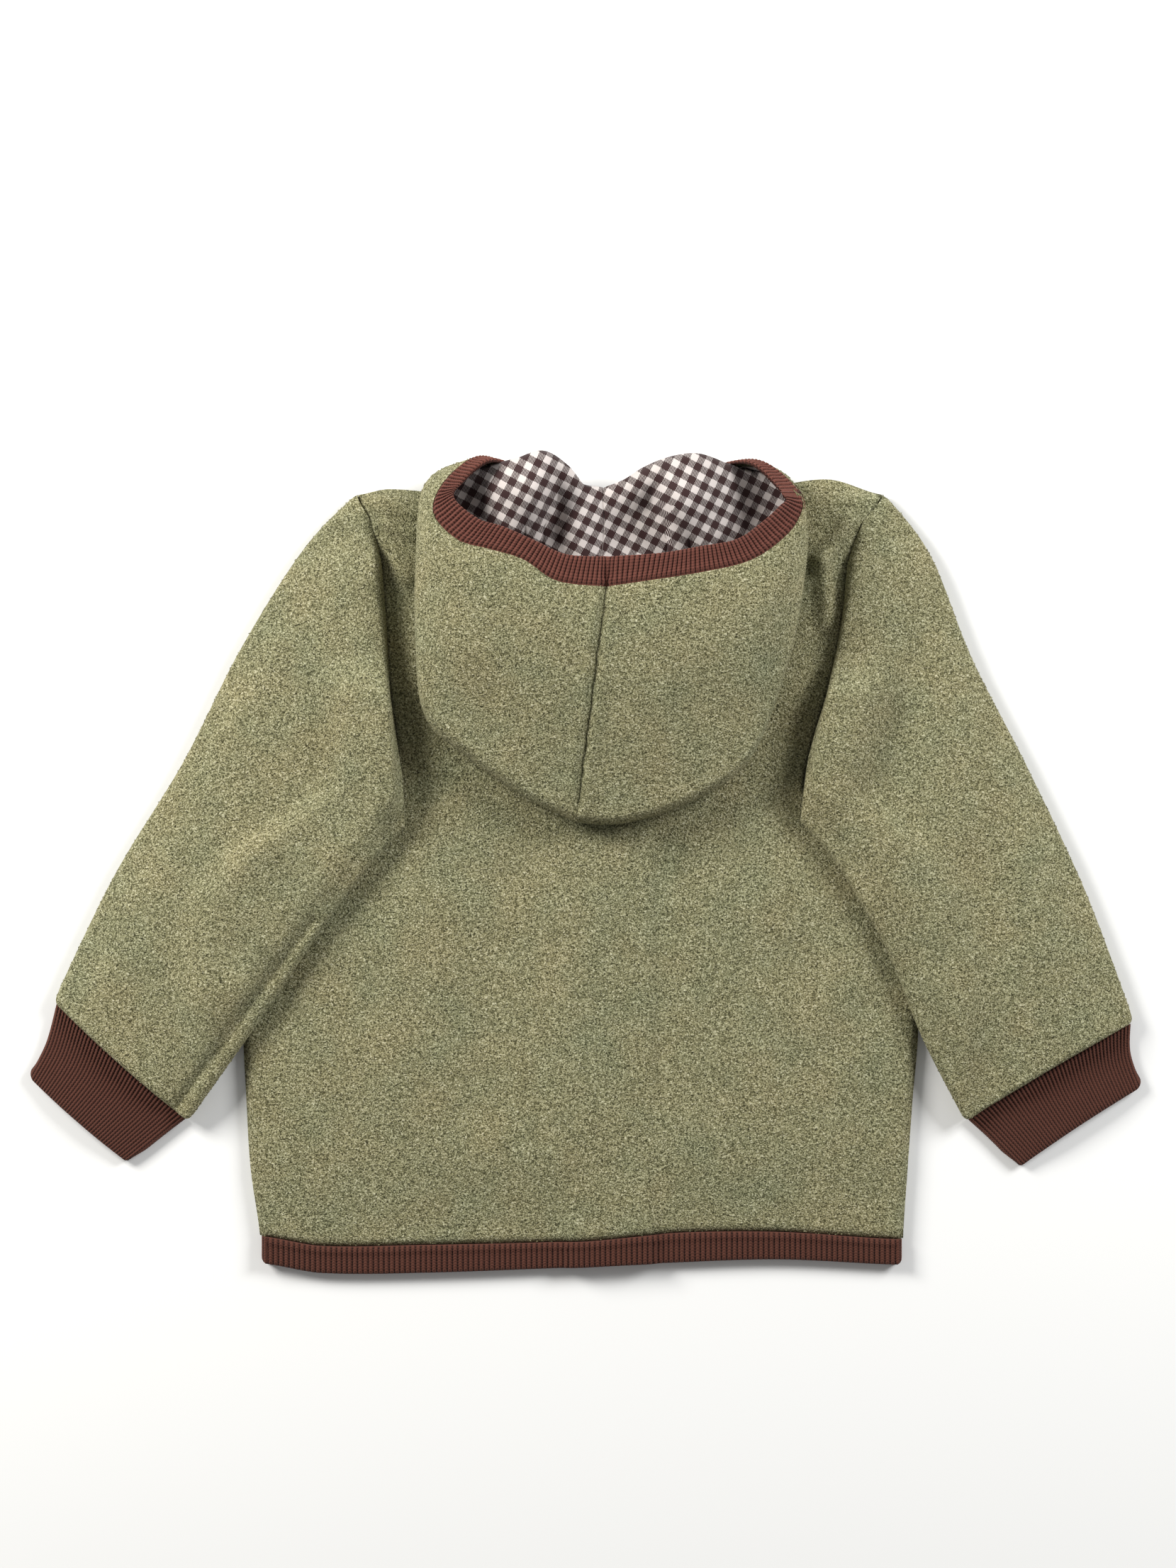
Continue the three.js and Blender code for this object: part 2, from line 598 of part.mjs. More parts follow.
// A cloth of one half, between two depths under the surface. The lining stops just short of the rib
// band.
function hoodHalf(side, from, to) {
  const half = (depth) => {
    const grid = hoodAt(depth);
    const short = from > FLEECE ? LINING_SHORT : 0;
    for (const row of grid) {
      const [a, b] = row.slice(-2).map((p) => new THREE.Vector3(...p));
      row[row.length - 1] = b.lerp(a, short / a.distanceTo(b)).toArray();
    }
    const kept = side < 0 ? grid.slice(0, HOOD_ROWS + 1).reverse() : grid.slice(HOOD_ROWS);
    kept[0] = kept[0].map((p) => [p[0] + side * SEAM, p[1], p[2]]);
    return kept;
  };
  return wall(half(from), half(to));
}

// The rib band along the whole face edge, ribbed at even steps.
function hoodBand() {
  const [rims, depths] = [hoodSurface, hoodAt(RIB_KNIT)].map((grid) =>
    grid.map((row) => new THREE.Vector3(...row[HOOD_COLUMNS])),
  );
  const run = [0];
  for (let i = 1; i < rims.length; i++) run.push(run[i - 1] + rims[i].distanceTo(rims[i - 1]));
  const total = run[run.length - 1];
  const section = (along, ribbed, valley) => {
    let k = 0;
    while (k < run.length - 2 && run[k + 1] < along) k++;
    const t = (along - run[k]) / (run[k + 1] - run[k]);
    const place = ((k + t - HOOD_ROWS) / HOOD_ROWS) * (HOOD_LEFT.length - 1);
    const rows = place < 0 ? HOOD_LEFT : HOOD_RIGHT;
    const lip = new THREE.Vector3(...["lipX", "lipY", "lipZ"].map((c) => atRow(rows, c, Math.abs(place))));
    const rim = rims[k].clone().lerp(rims[k + 1], t);
    const inward = depths[k].clone().lerp(depths[k + 1], t).sub(rim);
    lip.z = Math.max(lip.z, 0);
    const width = lip.distanceTo(rim);
    const toLip = lip.sub(rim).normalize();
    const at = (d, share) => rim.clone().addScaledVector(toLip, d).addScaledVector(inward, share).toArray();
    const dip = valley ? RIB_RELIEF / RIB_KNIT : 0;
    const outside = [at(0.9, 0), at(width / 2, dip), at(width, 0.3 + dip)];
    return ribbed ? outside : [at(0.9, 0.9), at(width, 0.75)];
  };
  const ribs = 2 * Math.round(total / (1.2 * RIB_PITCH) / 2);
  const outer = range(2 * ribs + 1, (i) => section((i / (2 * ribs)) * total, true, i % 2 === 1));
  const inner = range(ribs / 2 + 1, (i) => section((i / (ribs / 2)) * total, false, false));
  const turned = (grid) => grid[0].map((_, j) => grid.map((row) => row[j]));
  return wall(turned(outer), turned(inner));
}

const material = (color, roughness) => new THREE.MeshStandardMaterial({ color, roughness, metalness: 0 });
const fleece = material("#8f8e69", 0.95);
const check = material("#8d7d7b", 0.85);
const ribKnit = material("#4a2a24", 0.9);
const stud = material("#3f2620", 0.4);

const jacket = new THREE.Group();
const add = (name, geometry, finish) => {
  const mesh = new THREE.Mesh(geometry, finish);
  mesh.name = name;
  jacket.add(mesh);
  return mesh;
};

// The back's columns are evenly spaced, and each front's are closer at the lap, where the under front
// climbs.
const across = (from, to, n) => range(n + 1, (k) => mix(from, to, k / n));
const leftTop = topEdge("back", -1, 5, 6, Math.PI / 2);
const rightTop = topEdge("back", 1, 5, 6, Math.PI / 2);
const backTopEdge = [...leftTop, ...rightTop.reverse().slice(1)];
add(
  "back",
  panel({
    top: backTopEdge,
    columnsAt: (y) => across(leftEdge(y), rightEdge(y), backTopEdge.length - 1),
    rows: 20,
    under: backUnder,
    over: backTop,
    round: "over",
  }),
  fleece,
);

const frontShows = (y) => FRONT_SHOWS * (1 - smooth((y + 60) / 40));
const lapLeft = CENTRE - LAP;
const lapRight = CENTRE + LAP;
const outerTop = topEdge("front", -1, 4, 8, Math.PI / 2 + Math.asin(LAP / NECK_HALF));
const outerFront = panel({
  top: outerTop,
  columnsAt: (y) => across(leftEdge(y) - frontShows(y), lapRight, outerTop.length - 1),
  rows: 16,
  under: () => 0,
  over: () => FLEECE,
  round: "under",
});
add("front_left", withSeats(outerFront), fleece);

const lapColumns = [lapLeft, CENTRE, ...across(lapRight + 1, lapRight + 1 + LAP_SLOPE, 3)];
const lapEnd = lapColumns[lapColumns.length - 1];
const innerTop = topEdge("front", 1, 4, 7, Math.acos((lapEnd - CENTRE) / NECK_HALF)).reverse();
add(
  "front_right",
  panel({
    top: [...lapColumns.slice(0, -1).map((x) => [x, topLine(x, "front")]), ...innerTop],
    columnsAt: (y) => [
      ...lapColumns.slice(0, -1),
      ...across(lapEnd, rightEdge(y) + frontShows(y), innerTop.length - 1),
    ],
    rows: 18,
    under: lapStep,
    over: (x) => lapStep(x) + FLEECE,
    round: "under",
  }),
  fleece,
);
STUD_ROWS.forEach((y, k) => add(`stud_${k + 1}`, studAt(y, STUD_RADIUS, 0, STUD_HEIGHT), stud));
for (const [name, rows, side] of [["sleeve_left", SLEEVE_LEFT, -1], ["sleeve_right", SLEEVE_RIGHT, 1]]) {
  const [base, fit] = [sleeveBase(side), sleeveFit(side)];
  add(name, flatTube({ rows, sections: 14, thick: FLEECE, across: 8, base, fit }), fleece);
}
for (const [name, rows] of [["cuff_left", CUFF_LEFT], ["cuff_right", CUFF_RIGHT]]) {
  const width = Math.hypot(rows[1].inX - rows[1].outX, rows[1].inY - rows[1].outY);
  const ribs = Math.round(width / CUFF_RIB_PITCH);
  const cuff = { rows, sections: 3, thick: CUFF_WALL, across: 8, base: () => 0, ribs, relief: CUFF_RELIEF };
  add(name, flatTube(cuff), ribKnit);
}
add("hem_band", hemBand(), ribKnit);
for (const [name, side] of [["left", -1], ["right", 1]]) {
  const shell = hoodHalf(side, 0, FLEECE);
  add(`hood_${name}`, shell, fleece);
  const lining = hoodHalf(side, FLEECE + LINING_GAP, HOOD_DEPTH);
  add(`hood_lining_${name}`, side < 0 ? clearOf(lining, shell) : lining, check);
}
add("hood_band", hoodBand(), ribKnit);

export default jacket;
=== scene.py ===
# A small child's hooded jacket in mottled green boucle wool fleece, with dark brown rib bands and a
# gingham lined hood. It lies on its front with its back up and the hood thrown back. Shapes are worked
# out in millimetres, in the frame of the CAD model, and become metres in the meshes.
import json
import math

import bpy
import numpy as np
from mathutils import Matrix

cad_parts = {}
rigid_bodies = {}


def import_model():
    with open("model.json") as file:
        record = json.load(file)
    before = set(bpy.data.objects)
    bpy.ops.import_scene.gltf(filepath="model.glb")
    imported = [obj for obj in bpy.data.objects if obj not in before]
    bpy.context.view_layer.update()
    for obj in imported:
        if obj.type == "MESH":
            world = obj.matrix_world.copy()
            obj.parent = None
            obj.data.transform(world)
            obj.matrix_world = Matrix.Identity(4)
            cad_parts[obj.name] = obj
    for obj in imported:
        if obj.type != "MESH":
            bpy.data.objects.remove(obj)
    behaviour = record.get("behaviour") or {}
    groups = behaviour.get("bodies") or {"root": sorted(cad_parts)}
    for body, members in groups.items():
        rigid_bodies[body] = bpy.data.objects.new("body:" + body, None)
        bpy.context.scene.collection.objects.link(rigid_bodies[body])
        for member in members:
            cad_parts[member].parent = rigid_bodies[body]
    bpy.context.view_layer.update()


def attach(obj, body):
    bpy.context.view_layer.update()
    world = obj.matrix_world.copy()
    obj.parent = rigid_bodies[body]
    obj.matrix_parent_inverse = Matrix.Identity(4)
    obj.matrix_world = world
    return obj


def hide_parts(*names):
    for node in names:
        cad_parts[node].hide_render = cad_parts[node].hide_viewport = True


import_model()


# Back panel: one piece of boucle wool fleece from the hem seam to the shoulders and neckline. It lies
# uppermost and rises softly off the fronts, with shallow troughs where the cloth settled. It is sewn to
# the fronts, sleeves, hood and hem band along all its edges.
FLEECE = 3.0  # thickness of the fleece
SEAM = 0.3  # gap between two sewn pieces
BODY_PUFF = 3.0  # how far the back stands off the fronts
EDGE_RISE = 45.0  # width of the slope at its sides
TOP_RISE = 30.0  # and at its shoulders
HEM_RISE = 50.0  # and at its hem, from PUFF_START on
PUFF_START = -190.0
HEM_FOOT = -187.0  # where the panels end at the hem
CENTRE = 13.0  # the jacket's centre line
LAP = 10.0  # half the lap of the fronts
LAP_SLOPE = 8.0
LAP_END = 134.0  # from here on the lap's step fades out in the back
NECK_HALF = 66.5
NECK_DEPTH = {"back": 6.0, "front": 48.0}
NECK_SPREAD = 2.9  # how far the hood's stand keeps the two panels apart
ARMHOLE_FOOT = 66.0
BACK_ROWS = 160
SHOULDER_POINTS = 30
NECK_POINTS = 36
UNEVEN = 0.5  # unevenness of the lying cloth
UNEVEN_SIZE = 24.0
TUFTS_PER_M2 = 150000


def table(names, *rows):
    return dict(zip(names.split(), np.array(rows, float).T))


BODY_EDGES = table(
    "y left right",
    (-187, -159.6, 156.6),
    (-151, -164.5, 158.9),
    (-116, -166.6, 161.4),
    (-84, -168, 164),
    (-45, -166.5, 163),
    (-14, -158, 155),
    (6, -143, 142),
    (20, -121, 124),
    (36, -99, 109),
    (59, -94, 113),
    (94, -96.5, 121.5),
    (122, -98, 127),
    (150, -100.5, 130),
    (170, -106, 138),
    (182, -112.5, 147.5),
)
SHOULDER = table(
    "x back front",
    (-113, 181.5, 182.6),
    (-97, 183.5, 185.6),
    (-53.5, 179, 182),
    (79.5, 179, 184),
    (120, 184.5, 190.5),
    (147.5, 182, 182.8),
)
HEM = table(
    "x seam fold",
    (-160, -184.5, -198.5),
    (-131, -189.2, -203.2),
    (-84, -188.8, -203.2),
    (0, -186.8, -200.3),
    (46, -182.7, -198),
    (96, -182.3, -196.5),
    (157, -186, -199.2),
)
# Soft folds of the back and the sleeves: a crest or trough from one point to another, its half width and
# its height.
FOLDS = table(
    "x1 y1 x2 y2 width rise",
    (-128, 163, -108, 160, 7, -2.4),
    (-122, 174, -108, 176, 7, 1.6),
    (-106, 180, -84, 176, 4.5, 5.5),
    (-100, 168, -85, 163, 3.5, 5),
    (-99, 151, -88, 144, 7, 4.5),
    (-95, 130, -90, 40, 8, -1.2),
    (132, 168, 117, 150, 5, 4.5),
    (117, 150, 121, 120, 5, 4.5),
    (128, 130, 120, 95, 7, -1.2),
    (122, 110, 106, 34, 9, -1.6),
    (-80, 30, -118, -28, 10, -1.5),
    (92, 30, 126, -30, 10, -1.5),
    (-40, -10, -52, -120, 14, -2.0),
    (40, -4, 34, -110, 14, -2.0),
    (-2, 0, -6, -150, 18, 1.4),
    (-120, -60, -112, -168, 13, -1.3),
    (104, -50, 112, -160, 13, -1.3),
    (-86, -30, -96, -110, 16, 0.8),
    (76, -20, 84, -120, 16, 0.8),
    (-156, -60, -130, -96, 9, -1.2),
    (150, -62, 122, -92, 9, -1.2),
)


def at_row(column, place):
    """Smooth value of a table's column at a place counted in rows."""
    last = len(column) - 1
    place = np.clip(place, 0, last)
    k = np.minimum(place.astype(int), last - 1)
    t = place - k
    a, b, c, d = (column[np.clip(k + m, 0, last)] for m in (-1, 0, 1, 2))
    return b + 0.5 * t * (c - a + t * (2 * a - 5 * b + 4 * c - d + t * (3 * (b - c) + d - a)))


def at_key(tab, key, value, column):
    """The same, where another column has a value."""
    keys = tab[key]
    k = np.clip(np.searchsorted(keys, value) - 1, 0, len(keys) - 2)
    return at_row(tab[column], k + np.clip((value - keys[k]) / (keys[k + 1] - keys[k]), 0, 1))


def smooth(t):
    t = np.clip(t, 0, 1)
    return t * t * (3 - 2 * t)


def quarter(t):
    """Quarter circle from 0 to 1, for the roll of an edge."""
    return np.sqrt(1 - (1 - np.clip(t, 0, 1)) ** 2)


def left_edge(y):
    return at_key(BODY_EDGES, "y", y, "left")


def right_edge(y):
    return at_key(BODY_EDGES, "y", y, "right")


def top_line(x, layer):
    across = (x - CENTRE) / NECK_HALF
    return at_key(SHOULDER, "x", x, layer) - NECK_DEPTH[layer] * np.sqrt(np.maximum(0, 1 - across**2))


def fold_height(folds, x, y):
    """Sum of a table's folds, each of which dies away smoothly from its middle line."""
    total = np.zeros(np.broadcast(x, y).shape)
    for x1, y1, x2, y2, width, rise in zip(*folds.values()):
        dx, dy = x2 - x1, y2 - y1
        t = np.clip(((x - x1) * dx + (y - y1) * dy) / (dx * dx + dy * dy), 0, 1)
        away = np.hypot(x - x1 - t * dx, y - y1 - t * dy) / width
        total = total + rise * np.exp(-away * away)
    return total


def uneven(x, y, size, seed):
    """Soft unevenness between -1 and 1, with lumps of about one size."""
    knots = np.random.default_rng(seed).uniform(-1, 1, (64, 64))
    u, v = x / size + 200, y / size + 200
    i, j = np.floor(u).astype(int), np.floor(v).astype(int)
    s, t = smooth(u - i), smooth(v - j)
    low = knots[i % 64, j % 64] * (1 - s) + knots[(i + 1) % 64, j % 64] * s
    high = knots[i % 64, (j + 1) % 64] * (1 - s) + knots[(i + 1) % 64, (j + 1) % 64] * s
    return low * (1 - t) + high * t


def body_puff(x, y):
    """Gap between the fronts and the back, beyond the seam's own."""
    inward = np.minimum(x - left_edge(y), right_edge(y) - x)
    from_top = top_line(x, "back") - y
    from_hem = smooth((y - PUFF_START) / HEM_RISE)
    held = 0.35 * smooth((y - 30) / 30)
    side = held + (1 - held) * smooth(inward / EDGE_RISE)
    free = side * from_hem * smooth(from_top / TOP_RISE)
    across = np.abs(x - CENTRE)
    neck = NECK_SPREAD * smooth((NECK_HALF + 14 - across) / 30) * smooth((y - 120) / 40)
    over_lap = (FLEECE + SEAM) * smooth((LAP + 2 * LAP_SLOPE - across) / LAP_SLOPE)
    lap = over_lap * (1 - smooth((y - LAP_END) / 26))
    creased = fold_height(FOLDS, x, y) + UNEVEN * uneven(x, y, UNEVEN_SIZE, 3)
    creased = creased * smooth(inward / 9) * smooth(from_top / 12)
    soft = np.maximum(0, BODY_PUFF * free + creased * from_hem)
    return np.maximum(np.maximum(soft, neck), lap)


def back_top(x, y):
    return 2 * FLEECE + SEAM + body_puff(x, y)


def top_edge(layer, side, along_shoulder, round_neck, neck_end):
    """Points of a panel's top edge, along the shoulder and then round the neckline up to an angle."""
    tip = (left_edge if side < 0 else right_edge)(np.array(182.0))
    shoulder = np.linspace(tip, CENTRE + side * NECK_HALF, along_shoulder, endpoint=False)
    neck = CENTRE + side * NECK_HALF * np.cos(np.linspace(0, neck_end, round_neck))
    x = np.concatenate([shoulder, neck])
    return x, top_line(x, layer)


def panel_grid(top, left, right, rows):
    """Places across a panel, in rows from the hem seam to the points of its top edge."""
    top_x, top_y = top
    share = np.linspace(0, 1, len(top_x))
    v = np.linspace(0, 1, rows + 1)[:, None]
    foot = np.full(len(top_x), HEM_FOOT)
    low = at_key(HEM, "x", left(foot) + (right(foot) - left(foot)) * share, "seam") + SEAM
    y = low + v * (top_y - low)
    even = left(y) + (right(y) - left(y)) * share
    drawn = top_x - left(top_y) - (right(top_y) - left(top_y)) * share
    return even + smooth((v - 0.45) / 0.55) * drawn, y


def border(x, y, top_y, left, right):
    """Distance to a panel's nearest edge."""
    return np.minimum(np.minimum(x - left(y), right(y) - x), np.minimum(y - y[0], top_y - y))


def rounded(x, y, z, edge, low):
    """A cloth's outer points, with its thickness eased down at the edges."""
    return np.stack([x, y, low + (z - low) * (0.3 + 0.7 * quarter(edge / FLEECE))], axis=-1)


def wall_mesh(name, outer, inner, loop=False, uv=None):
    """A closed cloth wall between two grids of points in millimetres. Its attribute shown marks the faces
    that the outer grid makes, and a grid of weave coordinates becomes its UV map."""
    rows, columns = outer.shape[:2]
    points = np.concatenate([outer.reshape(-1, 3), inner.reshape(-1, 3)]) * 0.001
    wide = columns if loop else columns - 1
    i, j = (a.ravel() for a in np.meshgrid(np.arange(rows - 1), np.arange(wide), indexing="ij"))
    k = (j + 1) % columns
    near, far = i * columns, (i + 1) * columns
    skin = np.stack([near + j, near + k, far + k, far + j], axis=1)
    under = skin[:, ::-1] + rows * columns
    rim = np.concatenate([skin[i == 0][:, [1, 0]], skin[i == rows - 2][:, [3, 2]]])
    if not loop:
        rim = np.concatenate([rim, skin[j == 0][:, [0, 3]], skin[j == wide - 1][:, [2, 1]]])
    sides = np.concatenate([rim, rim[:, ::-1] + rows * columns], axis=1)
    faces = np.concatenate([skin, under, sides])
    a, b, c, d = (points[faces[:, m]] for m in range(4))
    volume = (np.cross(b - a, c - a) * a).sum() + (np.cross(c - a, d - a) * a).sum()
    corners = faces if volume > 0 else faces[:, ::-1]
    mesh = bpy.data.meshes.new(name)
    mesh.from_pydata(points.tolist(), [], corners.tolist())
    shown = np.zeros(len(faces), np.float32)
    shown[: len(skin)] = 1
    mesh.attributes.new("shown", "FLOAT", "FACE").data.foreach_set("value", shown)
    if uv is not None:
        skin_uv = np.stack([uv[i, j], uv[i, j + 1], uv[i + 1, j + 1], uv[i + 1, j]], axis=1)
        edge_uv = np.zeros((len(sides), 4, 2)) + skin_uv[0, 0]
        all_uv = np.concatenate([skin_uv, skin_uv[:, ::-1], edge_uv])
        all_uv = all_uv if volume > 0 else all_uv[:, ::-1]
        mesh.uv_layers.new(name="weave").data.foreach_set("uv", all_uv.ravel() * 0.001)
    mesh.shade_smooth()
    piece = bpy.data.objects.new(name, mesh)
    bpy.context.scene.collection.objects.link(piece)
    return piece


def colour(hex_code):
    """An sRGB hex colour as linear values."""
    parts = [int(hex_code[k : k + 2], 16) / 255 for k in (1, 3, 5)]
    return [p / 12.92 if p <= 0.04045 else ((p + 0.055) / 1.055) ** 2.4 for p in parts] + [1]


def node(tree, kind, settings=None, **links):
    """Adds a node with its settings. A link is another node's output, and any other value is the socket's
    own. i0 stands for the first socket, and so on."""
    made = tree.nodes.new(kind)
    for key, value in (settings or {}).items():
        setattr(made, key, value)
    for key, value in links.items():
        numbered = key[0] == "i" and key[1:].isdigit()
        socket = made.inputs[int(key[1:]) if numbered else key.replace("_", " ")]
        if isinstance(value, bpy.types.NodeSocket):
            tree.links.new(value, socket)
        else:
            socket.default_value = value
    return made


# Boucle wool fleece: curled yarns felted to a nubby, matt face. Dark flecks show between the light
# curls, so it looks salted at the size of a curl, and the dye drifts from straw to moss green over a few
# centimetres.
CURL_MM = 1.0
FLECK_MM = 0.7
DRIFT_MM = 26.0
WEAR_MM = 9.0
CURL_RELIEF = 0.0014  # in metres
DYE_STOPS = (0.36, 0.44, 0.5, 0.56, 0.64)  # from the dark flecks to the light curls


def stops(ramp, *colours):
    """Sets a colour ramp's stops from pairs of a place and a colour."""
    elements = ramp.color_ramp.elements
    while len(elements) < len(colours):
        elements.new(0.5)
    for element, (place, code) in zip(elements, colours):
        element.position = place
        element.color = colour(code)


def finished(name, **finish):
    """A new material and its nodes, with its finish set on the shader's sockets."""
    made = bpy.data.materials.new(name)
    made.use_nodes = True
    shader = made.node_tree.nodes["Principled BSDF"]
    for key, value in finish.items():
        shader.inputs[key.replace("_", " ")].default_value = value
    return made, made.node_tree, shader


def fleece_cloth():
    matt = {"Roughness": 0.96, "Specular_IOR_Level": 0.12}
    halo = {"Sheen_Weight": 0.12, "Sheen_Roughness": 0.6, "Sheen_Tint": colour("#d8d6bf")}
    cloth, tree, shader = finished("boucle_wool_fleece", **matt, **halo)
    place = node(tree, "ShaderNodeTexCoord").outputs["Object"]
    curls = {"Scale": 1000 / CURL_MM, "Detail": 2.0, "Roughness": 0.7, "Distortion": 0.9}
    bent = node(tree, "ShaderNodeTexNoise", Vector=place, **curls)
    fleck = node(tree, "ShaderNodeTexNoise", Vector=place, Scale=1000 / FLECK_MM, Detail=1.0, Roughness=0.6)
    drift = node(tree, "ShaderNodeTexNoise", Vector=place, Scale=1000 / DRIFT_MM, Detail=2.0)
    wear = node(tree, "ShaderNodeTexNoise", Vector=place, Scale=1000 / WEAR_MM, Detail=2.0)
    grains = {"i0": 0.4, "i2": bent.outputs[0], "i3": fleck.outputs[0]}
    tone = node(tree, "ShaderNodeMix", {"data_type": "FLOAT"}, **grains)
    straw = node(tree, "ShaderNodeValToRGB", Fac=tone.outputs[0])
    stops(straw, *zip(DYE_STOPS, ("#38351f", "#676244", "#8c8662", "#aaa37e", "#ccc6a8")))
    moss = node(tree, "ShaderNodeValToRGB", Fac=tone.outputs[0])
    stops(moss, *zip(DYE_STOPS, ("#303220", "#5c5e43", "#808161", "#9d9e7c", "#c3c3a5")))
    share = node(tree, "ShaderNodeMapRange", Value=drift.outputs[0], From_Min=0.3, From_Max=0.8)
    dyes = {"i0": share.outputs[0], "i6": straw.outputs[0], "i7": moss.outputs[0]}
    mixed = node(tree, "ShaderNodeMix", {"data_type": "RGBA"}, **dyes)
    shade = node(tree, "ShaderNodeMapRange", Value=wear.outputs[0], To_Min=0.9, To_Max=1.1)
    worn = {"i0": mixed.outputs[2], "Scale": shade.outputs[0]}
    final = node(tree, "ShaderNodeVectorMath", {"operation": "SCALE"}, **worn)
    tree.links.new(final.outputs[0], shader.inputs["Base Color"])
    bump = node(tree, "ShaderNodeBump", Height=tone.outputs[0], Strength=1.0, Distance=CURL_RELIEF)
    tree.links.new(bump.outputs[0], shader.inputs["Normal"])
    return cloth


# Curls of the fleece: the looped yarn that stands off the cloth's outer face as small tufts, turned and
# stretched at random. They break up the outline, and are set a little coarser than the real ones so that
# they show.
TUFT_WIDE = 0.0014  # in metres
FACES_ASIDE = -0.35  # faces that look further down than this carry no tufts
fleece = fleece_cloth()


def tuft_tree():
    """Geometry nodes that set small rounded tufts on the faces marked shown."""
    tree = bpy.data.node_groups.new("boucle_tufts", "GeometryNodeTree")
    for name, kind in (("Cloth", "Geometry"), ("Density", "Float"), ("Width", "Float"), ("Seed", "Int")):
        tree.interface.new_socket(name, in_out="INPUT", socket_type="NodeSocket" + kind)
    tree.interface.new_socket("Tufts", in_out="OUTPUT", socket_type="NodeSocketGeometry")
    given = node(tree, "NodeGroupInput").outputs
    shown = node(tree, "GeometryNodeInputNamedAttribute", {"data_type": "FLOAT"}, Name="shown")
    facing = node(tree, "ShaderNodeSeparateXYZ", i0=node(tree, "GeometryNodeInputNormal").outputs[0])
    upward = node(tree, "FunctionNodeCompare", {"data_type": "FLOAT"}, i0=facing.outputs[2], i1=FACES_ASIDE)
    outside = node(tree, "FunctionNodeCompare", {"data_type": "FLOAT"}, i0=shown.outputs[0], i1=0.5)
    both = node(tree, "FunctionNodeBooleanMath", i0=upward.outputs[0], i1=outside.outputs[0])
    points = node(
        tree,
        "GeometryNodeDistributePointsOnFaces",
        Mesh=given["Cloth"],
        Selection=both.outputs[0],
        Density=given["Density"],
        Seed=given["Seed"],
    )
    tuft = node(tree, "GeometryNodeMeshUVSphere", Segments=4, Rings=2, Radius=0.5)
    drawn = ("FunctionNodeRandomValue", {"data_type": "FLOAT_VECTOR"})
    turn = node(tree, *drawn, i1=(6.3, 6.3, 6.3), Seed=given["Seed"])
    stretch = node(tree, *drawn, i0=(0.5, 0.45, 0.4), i1=(1.3, 0.9, 0.75))
    scaled = {"operation": "SCALE"}
    size = node(tree, "ShaderNodeVectorMath", scaled, i0=stretch.outputs[0], Scale=given["Width"])
    placed = node(
        tree,
        "GeometryNodeInstanceOnPoints",
        Points=points.outputs[0],
        Instance=tuft.outputs[0],
        Rotation=turn.outputs[0],
        Scale=size.outputs[0],
    )
    solid = node(tree, "GeometryNodeRealizeInstances", Geometry=placed.outputs[0])
    coloured = node(tree, "GeometryNodeSetMaterial", Geometry=solid.outputs[0], Material=fleece)
    node(tree, "NodeGroupOutput", i0=coloured.outputs[0])
    return tree


tufts = tuft_tree()


def nap(piece, per_square_metre, seed):
    """The tufts of one fleece piece, as a plain mesh of their own."""
    carrier = bpy.data.objects.new(piece.name + "_carrier", piece.data)
    bpy.context.scene.collection.objects.link(carrier)
    modifier = carrier.modifiers.new("tufts", "NODES")
    modifier.node_group = tufts
    sockets = [item for item in tufts.interface.items_tree if item.item_type == "SOCKET"]
    given = {socket.name: socket.identifier for socket in sockets if socket.in_out == "INPUT"}
    modifier[given["Density"]] = float(per_square_metre)
    modifier[given["Width"]] = TUFT_WIDE
    modifier[given["Seed"]] = seed
    done = carrier.evaluated_get(bpy.context.evaluated_depsgraph_get())
    mesh = bpy.data.meshes.new_from_object(done)
    mesh.shade_smooth()
    bpy.data.objects.remove(carrier)
    pile = bpy.data.objects.new(piece.name + "_nap", mesh)
    bpy.context.scene.collection.objects.link(pile)
    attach(pile, "root")
    return pile


def finish_cloth(piece, cloth, replaced):
    piece.data.materials.append(cloth)
    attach(piece, "root")
    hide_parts(*replaced)


half_left = top_edge("back", -1, SHOULDER_POINTS, NECK_POINTS, math.pi / 2)
half_right = top_edge("back", 1, SHOULDER_POINTS, NECK_POINTS, math.pi / 2)
back_top_edge = [np.concatenate([l, r[::-1][1:]]) for l, r in zip(half_left, half_right)]
x, y = panel_grid(back_top_edge, left_edge, right_edge, BACK_ROWS)
under = FLEECE + SEAM + body_puff(x, y)
edge = border(x, y, back_top_edge[1], left_edge, right_edge)
# Along the armholes the sewn edge keeps its full thickness.
seamed = (y > ARMHOLE_FOOT) & (top_line(x, "back") - y > FLEECE)
edge = np.where(seamed, np.maximum(edge, FLEECE * smooth((y - ARMHOLE_FOOT) / 20)), edge)
outer = rounded(x, y, under + FLEECE, edge, under)
back = wall_mesh("back_cloth", outer, np.stack([x, y, under], axis=-1))
finish_cloth(back, fleece, ["back"])
back_nap = nap(back, TUFTS_PER_M2, 1)


# Fronts: two fleece panels that lie under the back, with the left one lapped over the right at the
# centre. Only their side edges and the roll over the shoulders show past the back.
FRONT_SHOWS = 1.2  # how far the side edges peek out low down
FRONT_ROWS = 90
FRONT_TOP_POINTS = (16, 30)  # along the shoulder and round the neckline
LAP_ANGLE = math.pi / 2 + math.asin(LAP / NECK_HALF)  # where the neckline meets the lap's edge


def lap_step(x):
    """How far the under front climbs where it lies on the other."""
    return (FLEECE + SEAM) * (1 - smooth((x - CENTRE - LAP - 1) / LAP_SLOPE))


def front_shows(y):
    return FRONT_SHOWS * (1 - smooth((y + 60) / 40))


